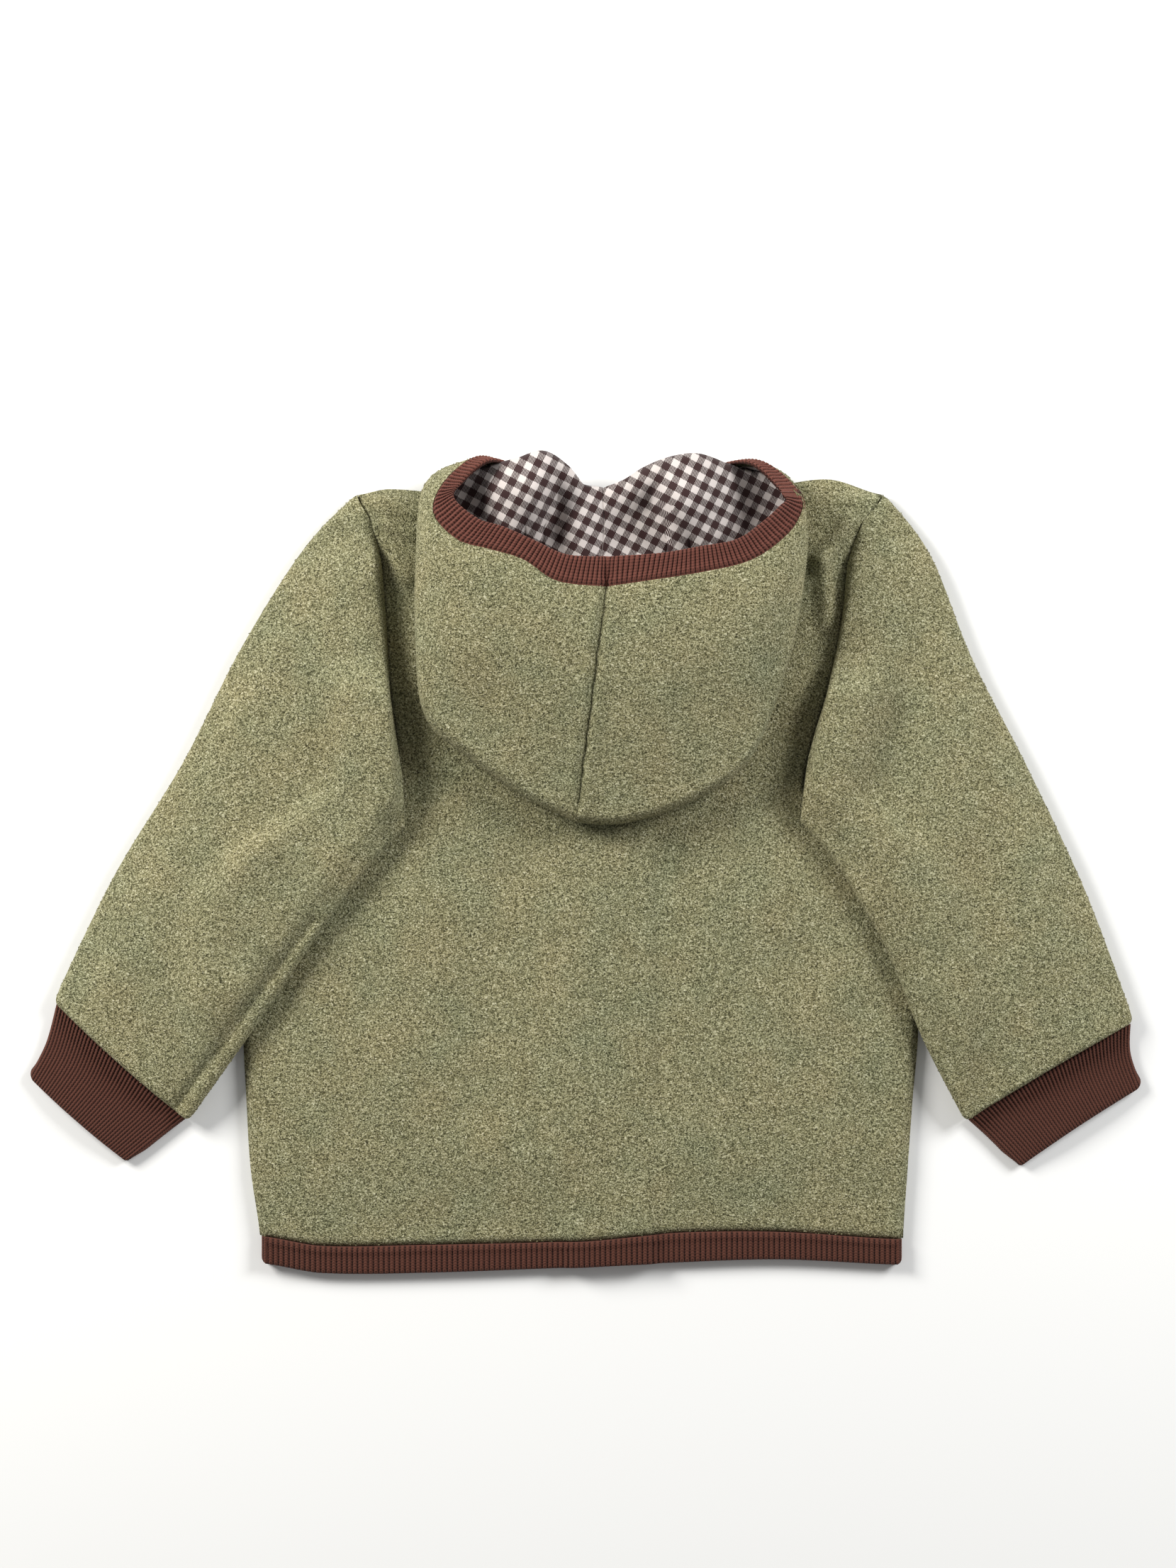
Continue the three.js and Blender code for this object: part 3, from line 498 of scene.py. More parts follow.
def front_panel(name, top, left, right, lift):
    x, y = panel_grid(top, left, right, FRONT_ROWS)
    low = lift(x)
    edge = border(x, y, top[1], left, right)
    outer = rounded(x, y, low + FLEECE, edge, low)
    piece = wall_mesh(name + "_cloth", outer, np.stack([x, y, low], axis=-1))
    finish_cloth(piece, fleece, [name])
    return piece


outer_top = top_edge("front", -1, *FRONT_TOP_POINTS, LAP_ANGLE)
front_left = front_panel(
    "front_left",
    outer_top,
    lambda y: left_edge(y) - front_shows(y),
    lambda y: np.full(np.shape(y), CENTRE + LAP),
    lambda x: 0 * x,
)
inner_top = [a[::-1] for a in top_edge("front", 1, *FRONT_TOP_POINTS, LAP_ANGLE)]
front_right = front_panel(
    "front_right",
    inner_top,
    lambda y: np.full(np.shape(y), CENTRE - LAP),
    lambda y: right_edge(y) + front_shows(y),
    lap_step,
)


# Press studs: the four smooth caps that close the lap, in their seats on the outer front. They are
# moulded nylon, which gives a soft shine with a faint grain.
GRAIN_MM = 0.25
stud_nylon, stud_tree, shine = finished("moulded_nylon", Base_Color=colour("#3f2620"), Roughness=0.38)
on_cap = node(stud_tree, "ShaderNodeTexCoord").outputs["Object"]
grain = node(stud_tree, "ShaderNodeTexNoise", Vector=on_cap, Scale=1000 / GRAIN_MM)
moulded = node(stud_tree, "ShaderNodeBump", Height=grain.outputs[0], Strength=0.1, Distance=0.0001)
stud_tree.links.new(moulded.outputs[0], shine.inputs["Normal"])
for number in range(1, 5):
    cap = bpy.data.objects[f"stud_{number}"]
    cap.data.materials.clear()
    cap.data.materials.append(stud_nylon)


# Sleeves: a fleece tube each, with an underarm seam, pressed flat by its own weight. From the armhole's
# foot down each one lies partly on the body's side, and its inner edge throws a shadow on the back.
REST = 1.6  # how far a sleeve or the hood lies above the back
CLIMB = 22.0  # width over which a sleeve comes down from the body's side
CORNER = 3.5  # radius of a tube's corners
SLEEVE_SECTIONS = 160
SLEEVE_POINTS = 60
SLEEVE_UNEVEN = 0.6
SLEEVE_UNEVEN_SIZE = 21.0
SLEEVE_END = 0.72  # share of its height that a sleeve keeps at the wrist
SLEEVE_LEFT = table(
    "outX outY inX inY bow puff",
    (-113.2, 183, -88.8, 18, 5, 3.5),
    (-139, 156, -106, -1, 4, 6.5),
    (-170, 107, -127.5, -29, 3, 8),
    (-199, 50, -147, -58, 2, 8.5),
    (-233, -6, -170, -91, 0, 8),
    (-263, -68, -196, -127.5, -1, 6.5),
)
SLEEVE_RIGHT = table(
    "outX outY inX inY bow puff",
    (148.2, 183, 106.5, 21, -7, 3.5),
    (171, 153, 122, 3, -5, 6.5),
    (192, 101, 139, -24, 3, 8),
    (219, 48, 151.5, -48, 2, 8.5),
    (248, -14, 167, -87, 0, 8),
    (272, -78, 188, -127.5, -1, 6.5),
)
# Creases pressed into the sleeves' upper layers, in the same columns as the soft folds.
SLEEVE_CREASES = table(
    "x1 y1 x2 y2 width rise",
    (-134, -28, -167, -72, 2.4, -3.2),
    (-167, -72, -201, -120, 2.4, -3.6),
    (-150, 120, -128, 30, 10, -1.4),
    (-176, 70, -158, 10, 12, 1.2),
    (-196, 20, -176, -50, 10, -1.2),
    (-226, -20, -196, -70, 10, 1.0),
    (170, 120, 146, 30, 10, -1.4),
    (196, 74, 172, 8, 12, 1.2),
    (212, 30, 178, -50, 10, -1.2),
    (236, -10, 204, -76, 10, 1.0),
    (168, -40, 214, -126, 2.6, -0.8),
)


def flat_tube(rows, sections, thick, spread, base, fit, roll, ribs, ends):
    """A tube of cloth pressed flat: its outer and inner grids, and how far round it each outer point is,
    from 0 to 2. rows give its two edges, spread the points between them, base what it lies on, fit how it
    meets its neighbour, roll and ribs its relief, and ends the share of its height left at its end."""
    s = np.concatenate([[0, 0.001, 0.0025, 0.005], np.linspace(0, 1, sections + 1)[2:]])[:, None]
    col = {name: at_row(values, s * (len(values) - 1)) for name, values in rows.items()}
    ax, ay = col["outX"], col["outY"]
    width = np.hypot(col["inX"] - ax, col["inY"] - ay)
    ux, uy = (col["inX"] - ax) / width, (col["inY"] - ay) / width
    half = thick + SEAM
    length = np.hypot(ax[-1] - ax[0], ay[-1] - ay[0])[0]
    easing = 1 - (1 - ends) * (1 - quarter((1 - s) * length / 4))
    grids = []
    for inset in (0, thick):
        turn = half - inset
        near = turn * np.array([0, 0.06, 0.2, 0.42, 0.7, 1])
        middle = inset + turn + (width - 2 * (inset + turn)) * spread
        flat = np.ones_like(s)
        d = np.concatenate([flat * (inset + near), middle, width - flat * (inset + near[::-1])], axis=1)
        lower = d[:, 1:-1][:, ::-1]
        d_all = np.concatenate([d, lower], axis=1)
        up = np.concatenate([np.ones(d.shape[1]), -np.ones(lower.shape[1])])
        bow = col["bow"] * 4 * (d_all / width) * (1 - d_all / width)
        py = ay + uy * d_all + ux * bow
        px = fit(ax + ux * d_all - uy * bow, py, s)
        from_edge = np.minimum(d_all, width - d_all) - inset
        trimmed = CORNER * (1 - quarter(from_edge / CORNER)) * smooth(1 - (1 - s) * length / (3 * CORNER))
        px = px + trimmed * (ax[0] - ax[-1]) / length
        py = py + trimmed * (ay[0] - ay[-1]) / length
        arch = 0.5 * smooth(from_edge / 24) + 0.5 * np.sin(np.pi * np.clip(d_all / width, 0, 1))
        swell = col["puff"] * arch * smooth(s / 0.06)
        creases = fold_height(SLEEVE_CREASES, px, py) * smooth(s / 0.1)
        creased = fold_height(FOLDS, px, py) * (1 - s) + creases
        lumpy = SLEEVE_UNEVEN * uneven(px, py, SLEEVE_UNEVEN_SIZE, 11)
        creased = (creased + lumpy) * smooth(from_edge / 14)
        swell = np.maximum(0, swell + creased * (thick == FLEECE)) + roll(d_all, width, s)
        rise = up * turn * quarter(from_edge / turn) + (up > 0) * swell
        if inset == 0:
            round_it = np.where(up > 0, d_all / width, 2 - d_all / width)
            rise = rise + (up > 0) * ribs(d_all, width)
        grids.append(np.stack([px, py, base(px, py) + half + rise * easing], axis=-1))
    return grids[0], grids[1], round_it


def sleeve_base(side):
    """Height of what a sleeve lies on: the plane, or the body's side below the armhole."""

    def height(x, y):
        out = left_edge(y) - x if side < 0 else x - right_edge(y)
        inside = np.clip(x, left_edge(y), right_edge(y))
        below = 1 - smooth((y - ARMHOLE_FOOT - 14) / 25)
        return (back_top(inside, y) + REST) * below * (1 - smooth((out - 18) / CLIMB))

    return height


def sleeve_fit(side):
    """Sets a sleeve's first section on the body's edge above the armhole's foot."""

    def fitted(x, y, s):
        edge = left_edge(y) - 0.15 if side < 0 else right_edge(y) + 0.15
        sewn = edge + (x - edge) * smooth(s / (0.03 + 0.09 * smooth((180 - y) / 20)))
        kept = np.minimum(sewn, edge) if side < 0 else np.maximum(sewn, edge)
        return x + (kept - x) * smooth((y - ARMHOLE_FOOT + 26) / 42) * (y < 184.5)

    return fitted


def armhole_roll(rise):
    """The upper layer stands up in a soft roll beside the armhole seam."""

    def roll(d, width, s):
        held = smooth(d / 40) * smooth((width - d) / 22)
        return rise * smooth(s / 0.055) * (1 - smooth((s - 0.06) / 0.22)) * held

    return roll


def no_ribs(d, width):
    return 0


for name, rows, side, rise, seed in (("left", SLEEVE_LEFT, -1, 8.0, 2), ("right", SLEEVE_RIGHT, 1, 5.0, 3)):
    spread = np.linspace(0, 1, SLEEVE_POINTS)[1:-1]
    lie = sleeve_base(side), sleeve_fit(side), armhole_roll(rise)
    outer, inner, _ = flat_tube(rows, SLEEVE_SECTIONS, FLEECE, spread, *lie, no_ribs, SLEEVE_END)
    sleeve = wall_mesh(f"sleeve_{name}_cloth", outer, inner, loop=True)
    finish_cloth(sleeve, fleece, [f"sleeve_{name}"])
    pile = nap(sleeve, TUFTS_PER_M2, seed)


# Rib knit: wool and elastane ribs, folded double in each band. The ribs stand up as rounded columns with
# fine stitches along them, and the yarn is a dark heathered brown. Their colour carries painted shade: the
# ribs' crests and stitch rows are painted lighter and the grooves between them darker, over the heather.
# The bands' weave coordinates count ribs one way and millimetres the other.
RIB_KNIT = 3.0  # thickness of a band, folded double
STITCH_MM = 1.3
HEATHER_PER_M = 1100.0


def rib_cloth(name, dark, light):
    matt = {"Roughness": 0.9, "Specular_IOR_Level": 0.2}
    halo = {"Sheen_Weight": 0.2, "Sheen_Roughness": 0.5, "Sheen_Tint": colour("#b08a80")}
    cloth, tree, shader = finished(name, **matt, **halo)
    add_on = ("ShaderNodeMath", {"operation": "MULTIPLY_ADD"})
    weave = node(tree, "ShaderNodeUVMap", {"uv_map": "weave"}).outputs[0]
    counted = node(tree, "ShaderNodeVectorMath", {"operation": "SCALE"}, i0=weave, Scale=1000.0)
    axes = node(tree, "ShaderNodeSeparateXYZ", i0=counted.outputs[0])
    place = node(tree, "ShaderNodeTexCoord").outputs["Object"]
    wool = node(tree, "ShaderNodeTexNoise", Vector=place, Scale=HEATHER_PER_M, Detail=2.0, Roughness=0.7)
    half = node(tree, "ShaderNodeMath", {"operation": "PINGPONG"}, i0=axes.outputs[0], i1=0.5)
    rounding = {"interpolation_type": "SMOOTHSTEP"}
    # Painted shade: the rib's crest and its stitch rows make the colour lighter on top and darker in the
    # grooves.
    crest_relief_and_painted_shade = node(tree, "ShaderNodeMapRange", rounding, Value=half.outputs[0], From_Max=0.42)
    leaning = node(tree, *add_on, i0=axes.outputs[1], i1=1 / STITCH_MM, i2=half.outputs[0])
    turns = node(tree, "ShaderNodeMath", {"operation": "MULTIPLY"}, i0=leaning.outputs[0], i1=2 * math.pi)
    stitch = node(tree, "ShaderNodeMath", {"operation": "SINE"}, i0=turns.outputs[0])
    knit = node(tree, *add_on, i0=stitch.outputs[0], i1=0.2, i2=crest_relief_and_painted_shade.outputs[0])
    tone = node(tree, *add_on, i0=wool.outputs[0], i1=0.9, i2=knit.outputs[0])
    ramp = node(tree, "ShaderNodeValToRGB", Fac=tone.outputs[0])
    stops(ramp, (0.35, dark), (1.0, light))
    tree.links.new(ramp.outputs[0], shader.inputs["Base Color"])
    bump = node(tree, "ShaderNodeBump", Height=tone.outputs[0], Strength=0.8, Distance=0.0006)
    tree.links.new(bump.outputs[0], shader.inputs["Normal"])
    return cloth


# Its two colours span the painted shade in the rib grooves and the painted light on the crests.
rib = rib_cloth("wool_rib_knit", "#1e0e0b", "#573429")


def rib_dip(along, pitch, depth):
    """Depth below a rib's crest, for rounded ribs side by side."""
    return -depth * (1 - np.abs(np.sin(np.pi * along / pitch)) ** 0.6)


# Cuffs: a short tube of rib knit, folded double at its end and drawn in, sewn to the sleeve's wrist
# edge. Its ribs are finer than the hem band's.
CUFF_WALL = 1.8  # thickness of a cuff, folded double
CUFF_RIB_PITCH = 1.8
CUFF_RELIEF = 0.45
CUFF_SECTIONS = 22
CUFF_END = 0.6  # share of its height that a cuff keeps at its end
RIB_STEPS = 6  # points across a rib
CUFF_LEFT = table(
    "outX outY inX inY bow puff",
    (-261.8, -69.7, -197.8, -126.5, -1, 2.2),
    (-267, -89, -207, -133.5, -1, 1.8),
    (-275.5, -105.5, -225.8, -148.6, -1, 2.6),
)
CUFF_RIGHT = table(
    "outX outY inX inY bow puff",
    (270.5, -79.4, 190, -126.9, -1, 2.2),
    (270.5, -94, 201, -137, -1, 1.8),
    (276, -110.5, 214.5, -151, -1, 2.6),
)


def on_plane(x, y):
    return 0 * x


def unfitted(x, y, s):
    return x


def no_roll(d, width, s):
    return 0 * d


for name, rows in (("left", CUFF_LEFT), ("right", CUFF_RIGHT)):
    mouth = math.hypot(rows["inX"][1] - rows["outX"][1], rows["inY"][1] - rows["outY"][1])
    ribs = round(mouth / CUFF_RIB_PITCH)

    def cuff_ribs(d, width):
        return smooth(np.minimum(d, width - d) / 2) * rib_dip(d / width * ribs, 1, CUFF_RELIEF)

    spread = np.linspace(0, 1, RIB_STEPS * ribs + 1)[1:-1]
    lie = on_plane, unfitted, no_roll
    outer, inner, round_it = flat_tube(rows, CUFF_SECTIONS, CUFF_WALL, spread, *lie, cuff_ribs, CUFF_END)
    u = np.concatenate([round_it, np.full((len(round_it), 1), 2)], axis=1) * ribs
    v = np.cumsum(np.linalg.norm(np.diff(outer, axis=0, prepend=outer[:1]), axis=2).mean(axis=1))
    weave = np.stack([u, v[:, None] + 0 * u], axis=-1)
    cuff = wall_mesh(f"cuff_{name}_cloth", outer, inner, loop=True, uv=weave)
    finish_cloth(cuff, rib, [f"cuff_{name}"])


# Hem band: a strip of rib knit folded double, sewn round the whole lower edge from front edge to front
# edge. Its seam allowance makes a ridge just below the fleece.
RIB_PITCH = 2.6
HEM_RELIEF = 0.75
HEM_WIDTH = 13.0
HEM_LINES = (0, 0.7, 1.4, 2.1, 2.8, 3.6, 4.6, 6, 8, 10, 11.5, 12.4, 13.0)  # from the seam to the fold
HEM_FOLD_ROLL = 1.4  # how far the fold rolls down
HEM_RIDGE = 0.7  # how far the seam allowance stands up
HEM_RIDGE_AT = 2.4
HEM_NEAR_SEAM = 1.2  # how far the sewn edge dips


def hem_loop(off, left, right, top_x):
    """Points round the band at a depth below its outer face, and the number of the first one on its top."""
    half = RIB_KNIT + SEAM
    climb = np.array([CENTRE + LAP + 1 + LAP_SLOPE * t for t in (0, 0.2, 0.4, 0.6, 0.8, 1)])
    lapped = np.linspace(CENTRE - LAP, CENTRE + LAP, 12)
    beyond = np.linspace(climb[-1] + 2, right - half, 60)
    low_x = np.concatenate([lapped, climb, beyond])
    angle = np.radians([-70, -45, -20, 0, 20, 45, 70])
    turn_x, turn_z = (half - off) * np.cos(angle), half + (half - off) * np.sin(angle)
    top_z = 2 * RIB_KNIT + SEAM + body_puff(top_x, np.full(top_x.shape, HEM_FOOT)) - off
    back_x = np.linspace(left + half, CENTRE + LAP, 80)
    ring = [
        (low_x, lap_step(low_x) + off),
        (right - half + turn_x, turn_z),
        (top_x, top_z),
        (left + half - turn_x, turn_z[::-1]),
        (back_x, 0 * back_x + off),
    ]
    points = np.concatenate([np.stack(part, axis=1) for part in ring])
    return points, len(low_x) + len(angle)


def hem_band():
    half = RIB_KNIT + SEAM
    left, right = HEM["x"][0], HEM["x"][-1]
    ribs = round((right - left - 2 * half) / RIB_PITCH)
    top_x = np.linspace(right - half, left + half, RIB_STEPS * ribs + 1)
    counted_top = np.arange(len(top_x)) / RIB_STEPS
    shares = np.array(HEM_LINES) / HEM_WIDTH
    grids = []
    for off in (0, RIB_KNIT):
        points, start = hem_loop(off, left, right, top_x)
        x, z = points[:, 0], points[:, 1]
        seam, fold = at_key(HEM, "x", x, "seam"), at_key(HEM, "x", x, "fold") + 0.6
        fold = fold + CORNER * (1 - quarter(np.minimum(x - left, right - x) / CORNER))
        relief, on_top = np.zeros(len(x)), np.zeros(len(x))
        if off == 0:
            outline = points
            relief[start : start + len(top_x)] = rib_dip(counted_top, 1, HEM_RELIEF)
            on_top[start : start + len(top_x)] = 1
        lines = []
        for share in shares:
            mm = share * HEM_WIDTH
            ridge = HEM_RIDGE * np.exp(-(((mm - HEM_RIDGE_AT) / 1.1) ** 2))
            rolled = HEM_FOLD_ROLL * (1 - quarter((HEM_WIDTH - mm) / 2.2))
            soft = -rolled + ridge - HEM_NEAR_SEAM * (mm < 0.5)
            height = z + relief * smooth((mm - 0.2) / 1.5) + on_top * soft
            lines.append(np.stack([x, seam + (fold - seam) * share, height], axis=1))
        grids.append(np.array(lines))
    steps = np.linalg.norm(np.diff(outline, axis=0, prepend=outline[:1]), axis=1)
    counted = np.cumsum(steps) / RIB_PITCH
    first = round(counted[start])
    counted += first - counted[start]
    counted[start : start + len(top_x)] = first + counted_top
    return grids[0], grids[1], np.stack(np.meshgrid(counted, shares * HEM_WIDTH), axis=-1)


outer, inner, weave = hem_band()
band = wall_mesh("hem_band_cloth", outer, inner, uv=weave)
finish_cloth(band, rib, ["hem_band"])


# Hood: two curved halves of fleece, sewn together along the centre seam and to the neckline. It is
# thrown back over the back, its crown towards the hem and its mouth open towards the neck. Each line of
# its surface runs from the neck up the stand, along the lower layer, round the crown's edge and back
# along the upper layer to the mouth.
STAND_END = 0.14  # share of a line at which the stand ends
LOWER_END = 0.56  # and the lower layer
HOOD_STEPS = 120  # steps along a line
EDGE_ROUND = 9.0  # how far the crown's edge takes to turn over
NECK_GAP = 1.0
BACK_END = 186.0  # the back lies under the hood up to here
STAND_DROP = 16.0  # how far the stand takes to come down onto the back
CROWN_BULGE = 4.0  # how far the upper layer swells
HOOD_UNEVEN = 0.9
HOOD_UNEVEN_SIZE = 26.0
HOOD_TUFTS_PER_M2 = 130000
HOOD_COLUMNS = "neck rollX rollY rollZ edgeX edgeY edgeZ rimX rimY rimZ lipX lipY lipZ"
HOOD_LEFT = table(
    HOOD_COLUMNS,
    (0, 9, 182.5, 13, -4.5, 20.5, 19, 10.5, 135.3, 46, 11.2, 150, 49),
    (14, -2.5, 184, 15, -28, 32, 19, -13.3, 138, 47, -8.8, 151, 50),
    (30, -10.5, 193, 22, -55, 50.6, 19, -30, 148.6, 46, -23.8, 157.7, 49),
    (46, -20, 198.8, 27, -78.4, 72.3, 20, -47, 153.8, 45, -39.5, 164.7, 48),
    (60, -30, 196, 26, -83.3, 111.5, 20, -62, 158.4, 42, -52, 169, 45),
    (74, -42, 193.5, 18, -83, 153.5, 20, -73.9, 171.7, 38, -63.7, 179, 42),
    (90, -51, 192.5, 10, -80, 184, 18, -69, 187, 34, -60.5, 186.4, 37),
    (108, -50, 191.5, 2, -67, 196, 12, -54, 200, 22, -47, 199, 28),
    (124, -44, 190, 0, -47, 195.5, 1.5, -38, 198, 2, -29, 196, 2),
    (140, -31.5, 181.5, 0, -25.5, 190, 0, -18.5, 192.7, 0, -9.3, 189.2, 0),
    (168, -0.5, 138.5, 0, 0.5, 140, 0, 2, 142, 0, 11, 142.5, 0),
)
HOOD_RIGHT = table(
    HOOD_COLUMNS,
    (0, 9, 182.5, 13, -4.5, 20.5, 19, 10.5, 135.3, 46, 11.2, 150, 49),
    (14, 21, 186, 16, 19, 20, 19, 34.6, 138.8, 46.5, 36.8, 151.7, 49.5),
    (30, 30, 191.5, 22, 52.5, 30.6, 19, 56.7, 142.3, 46, 56, 155, 49),
    (46, 42, 196, 27, 81, 51.3, 20, 78.8, 147.5, 45, 73.5, 158.4, 48),
    (60, 55, 197.5, 26, 99, 95.7, 20, 93.8, 156.6, 42, 85, 166, 45),
    (74, 68.5, 193.5, 18, 107.5, 136, 20, 104, 168.2, 38, 94.9, 175, 42),
    (90, 77, 192.5, 10, 108.9, 171, 18, 105.4, 181.5, 35, 97.7, 181.5, 38),
    (108, 77, 193, 3, 98, 193, 12, 88, 197.5, 22, 81, 198, 28),
    (124, 70, 190, 0, 76, 195.5, 1.5, 68, 198, 2, 59, 196, 2),
    (140, 57.5, 181.5, 0, 51, 190, 0, 44.5, 192.7, 0, 35, 189.2, 0),
    (168, 26.5, 138.5, 0, 25.5, 140, 0, 24, 142, 0, 15, 142.5, 0),
)
# Deep folds of the lower layer, seen through the mouth: a crest's two ends with their heights, and the
# fold's width on its left and right.
HOOD_FOLDS = table(
    "x1 y1 x2 y2 rise1 rise2 left right",
    (-17, 199, -25, 184, 18, 24, 26, 7),
    (-25, 184, -44, 146, 24, 6, 22, 7),
    (42, 199, 45, 180, 18, 24, 7, 28),
    (45, 180, 66, 142, 24, 6, 7, 24),
    (9, 190, -4.5, 168.5, 5, 9, 5, 11),
    (-4.5, 168.5, 1, 146, 9, 5, 5, 12),
    (57, 199, 61, 184, 12, 10, 5, 8),
    (61, 184, 75, 158, 10, 8, 5, 8),
)


def hood_fold(x, y):
    """Height of the highest of the hood's folds at a place."""
    best = np.zeros(x.shape)
    for x1, y1, x2, y2, rise1, rise2, left, right in zip(*HOOD_FOLDS.values()):
        dx, dy = x2 - x1, y2 - y1
        t = np.clip(((x - x1) * dx + (y - y1) * dy) / (dx * dx + dy * dy), 0, 1)
        ex, ey = x - x1 - t * dx, y - y1 - t * dy
        away = np.hypot(ex, ey) / np.where(ex < 0, left, right)
        best = np.maximum(best, (rise1 + (rise2 - rise1) * t) * np.exp(-1.2 * away * away))
    return best


def hood_lines(tab, side, place, s):
    """Points of half the hood: a row for each place round the neckline, a column for each share of a
    line."""
    col = {name: at_row(values, place)[:, None] for name, values in tab.items()}
    angle = np.radians(col["neck"])
    back = np.cos(angle) > 0
    nx = CENTRE + side * (NECK_HALF - NECK_GAP) * np.sin(angle)
    depth = np.where(back, NECK_DEPTH["back"], NECK_DEPTH["front"]) - NECK_GAP
    shoulder = np.where(back, at_key(SHOULDER, "x", nx, "back"), at_key(SHOULDER, "x", nx, "front"))
    ny = shoulder - depth * np.abs(np.cos(angle))
    nz = (FLEECE + SEAM / 2 + NECK_SPREAD / 2) * (1 + np.clip(3 * np.cos(angle), -1, 1))
    rx, ry, rz = col["rollX"], col["rollY"], col["rollZ"]
    ex, ey, ez = col["edgeX"], col["edgeY"], col["edgeZ"]
    mx, my, mz = col["rimX"], col["rimY"], col["rimZ"]
    flap = smooth((place[:, None] - 6) / 1.5)

    t = np.clip(s / STAND_END, 0, 1)
    stand = (nx + (rx - nx) * t, ny + (ry - ny) * np.sin(t * np.pi / 2), nz + (rz - nz) * smooth(t) * t)

    t = np.clip((s - STAND_END) / (LOWER_END - STAND_END), 0, 1)
    u = 1 - (1 - t) ** 1.5
    x, y = rx + (ex - rx) * u, ry + (ey - ry) * u
    lying = back_top(x, np.minimum(y, BACK_END)) + REST + hood_fold(x, y)
    low = rz + (lying - rz) * smooth(np.hypot(x - rx, y - ry) / STAND_DROP)
    z = ez + (low - ez) * quarter(np.hypot(x - ex, y - ey) / EDGE_ROUND)
    lower = (x, y, z + (rz + (ez - rz) * t - z) * flap)

    t = np.clip((s - LOWER_END) / (1 - LOWER_END), 0, 1)
    u = t**1.5
    x, y = ex + (mx - ex) * u, ey + (my - ey) * u
    length = np.hypot(mx - ex, my - ey)
    crown = ez + np.minimum(EDGE_ROUND, mz - ez)
    z = ez + (crown - ez) * quarter(u * length / np.minimum(0.6 * EDGE_ROUND, length))
    z = z + (mz - crown) * smooth(u) + CROWN_BULGE * np.sin(np.pi * u) * smooth(length / 60)
    z = z + HOOD_UNEVEN * uneven(x, y, HOOD_UNEVEN_SIZE, 7) * smooth(u * 4) * smooth((1 - u) * 5)
    upper = (x, y, z + (ez + (mz - ez) * t - z) * flap)

    layers = zip(stand, lower, upper)
    x, y, z = (np.where(s < STAND_END, a, np.where(s < LOWER_END, b, c)) for a, b, c in layers)
    return np.stack([x, y, np.maximum(z, 0)], axis=-1)


# Places round the neckline, counted in rows of the two tables. They lie closer together near the centre
# seam.
near_seam = [0, 0.025, 0.05, 0.08, 0.12, 0.17, 0.23]
half_places = np.concatenate([near_seam, np.linspace(0.3, 10, 82)])
left_places = half_places[:0:-1]
hood_places = np.concatenate([-left_places, half_places])
hood_steps = np.linspace(0, 1, HOOD_STEPS + 1)[None, :]
MIDDLE = len(left_places)
hood_grid = np.concatenate([
    hood_lines(HOOD_LEFT, -1, left_places, hood_steps),
    hood_lines(HOOD_RIGHT, 1, half_places, hood_steps),
])

# The two halves roll down into the centre seam on the upper layer, a little unevenly.
SEAM_WAVER = 0.5
SEAM_WAVER_SIZE = 3.0
SEAM_ROLL = 0.9
SEAM_DIP = 1.8
middle_x, middle_y = hood_grid[MIDDLE, :, 0], hood_grid[MIDDLE, :, 1]
hood_grid[MIDDLE, :, 0] += SEAM_WAVER * uneven(middle_x, middle_y, SEAM_WAVER_SIZE, 9)
from_seam = np.abs(hood_grid[:, :, 0] - hood_grid[MIDDLE, :, 0])
roll = SEAM_ROLL * np.exp(-(((from_seam - 4) / 2.5) ** 2)) - SEAM_DIP * np.exp(-((from_seam / 1.6) ** 2))
hood_grid[:, :, 2] += roll * smooth((hood_steps - 0.6) / 0.05)


def grid_normals(grid):
    """Normals of the hood's grid, pointing to its inner side."""
    along = np.gradient(grid, axis=0)
    across = np.gradient(grid, axis=1)
    normal = np.cross(across, along)
    return normal / np.maximum(np.linalg.norm(normal, axis=2, keepdims=True), 1e-9)


def room_inside(grid, normals, limit):
    """How far each point can move inwards before it meets the rest: the radius of a ball that touches."""
    points = grid.reshape(-1, 3)
    reach = points[None, :, :] - points[:, None, :]
    towards = (reach * normals.reshape(-1, 1, 3)).sum(axis=2)
    radius = (reach**2).sum(axis=2) / np.maximum(2 * towards, 1e-6)
    return np.minimum(np.where(towards > 0.01, radius, limit).min(axis=1), limit).reshape(grid.shape[:2])


# The hood's whole thickness, which gives way where its layers come too close. The room for it is worked
# out on a coarse grid.
LINING_GAP = 0.5
LINING = 1.0
HOOD_DEPTH = FLEECE + LINING_GAP + LINING
COARSE_ROWS = 45
COARSE_COLUMNS = 31
inward = grid_normals(hood_grid)
coarse = np.ix_(
    np.linspace(0, len(hood_grid) - 1, COARSE_ROWS).astype(int),
    np.linspace(0, HOOD_STEPS, COARSE_COLUMNS).astype(int),
)
room = room_inside(hood_grid[coarse], inward[coarse], 1.15 * HOOD_DEPTH)
rows_at = np.linspace(0, COARSE_ROWS - 1, len(hood_grid))
columns_at = np.linspace(0, COARSE_COLUMNS - 1, HOOD_STEPS + 1)
room = np.array([np.interp(rows_at, np.arange(COARSE_ROWS), column) for column in room.T]).T
room = np.array([np.interp(columns_at, np.arange(COARSE_COLUMNS), row) for row in room])
hood_share = np.minimum(1, 0.8 * room / HOOD_DEPTH)[:, :, None]


def hood_at(depth):
    return hood_grid + inward * hood_share * depth


def hood_half(side, grid):
    """One half of a grid of the hood, from the centre seam out."""
    kept = (grid[: MIDDLE + 1][::-1] if side < 0 else grid[MIDDLE:]).copy()
    kept[0, :, 0] += side * SEAM / 3
    return kept


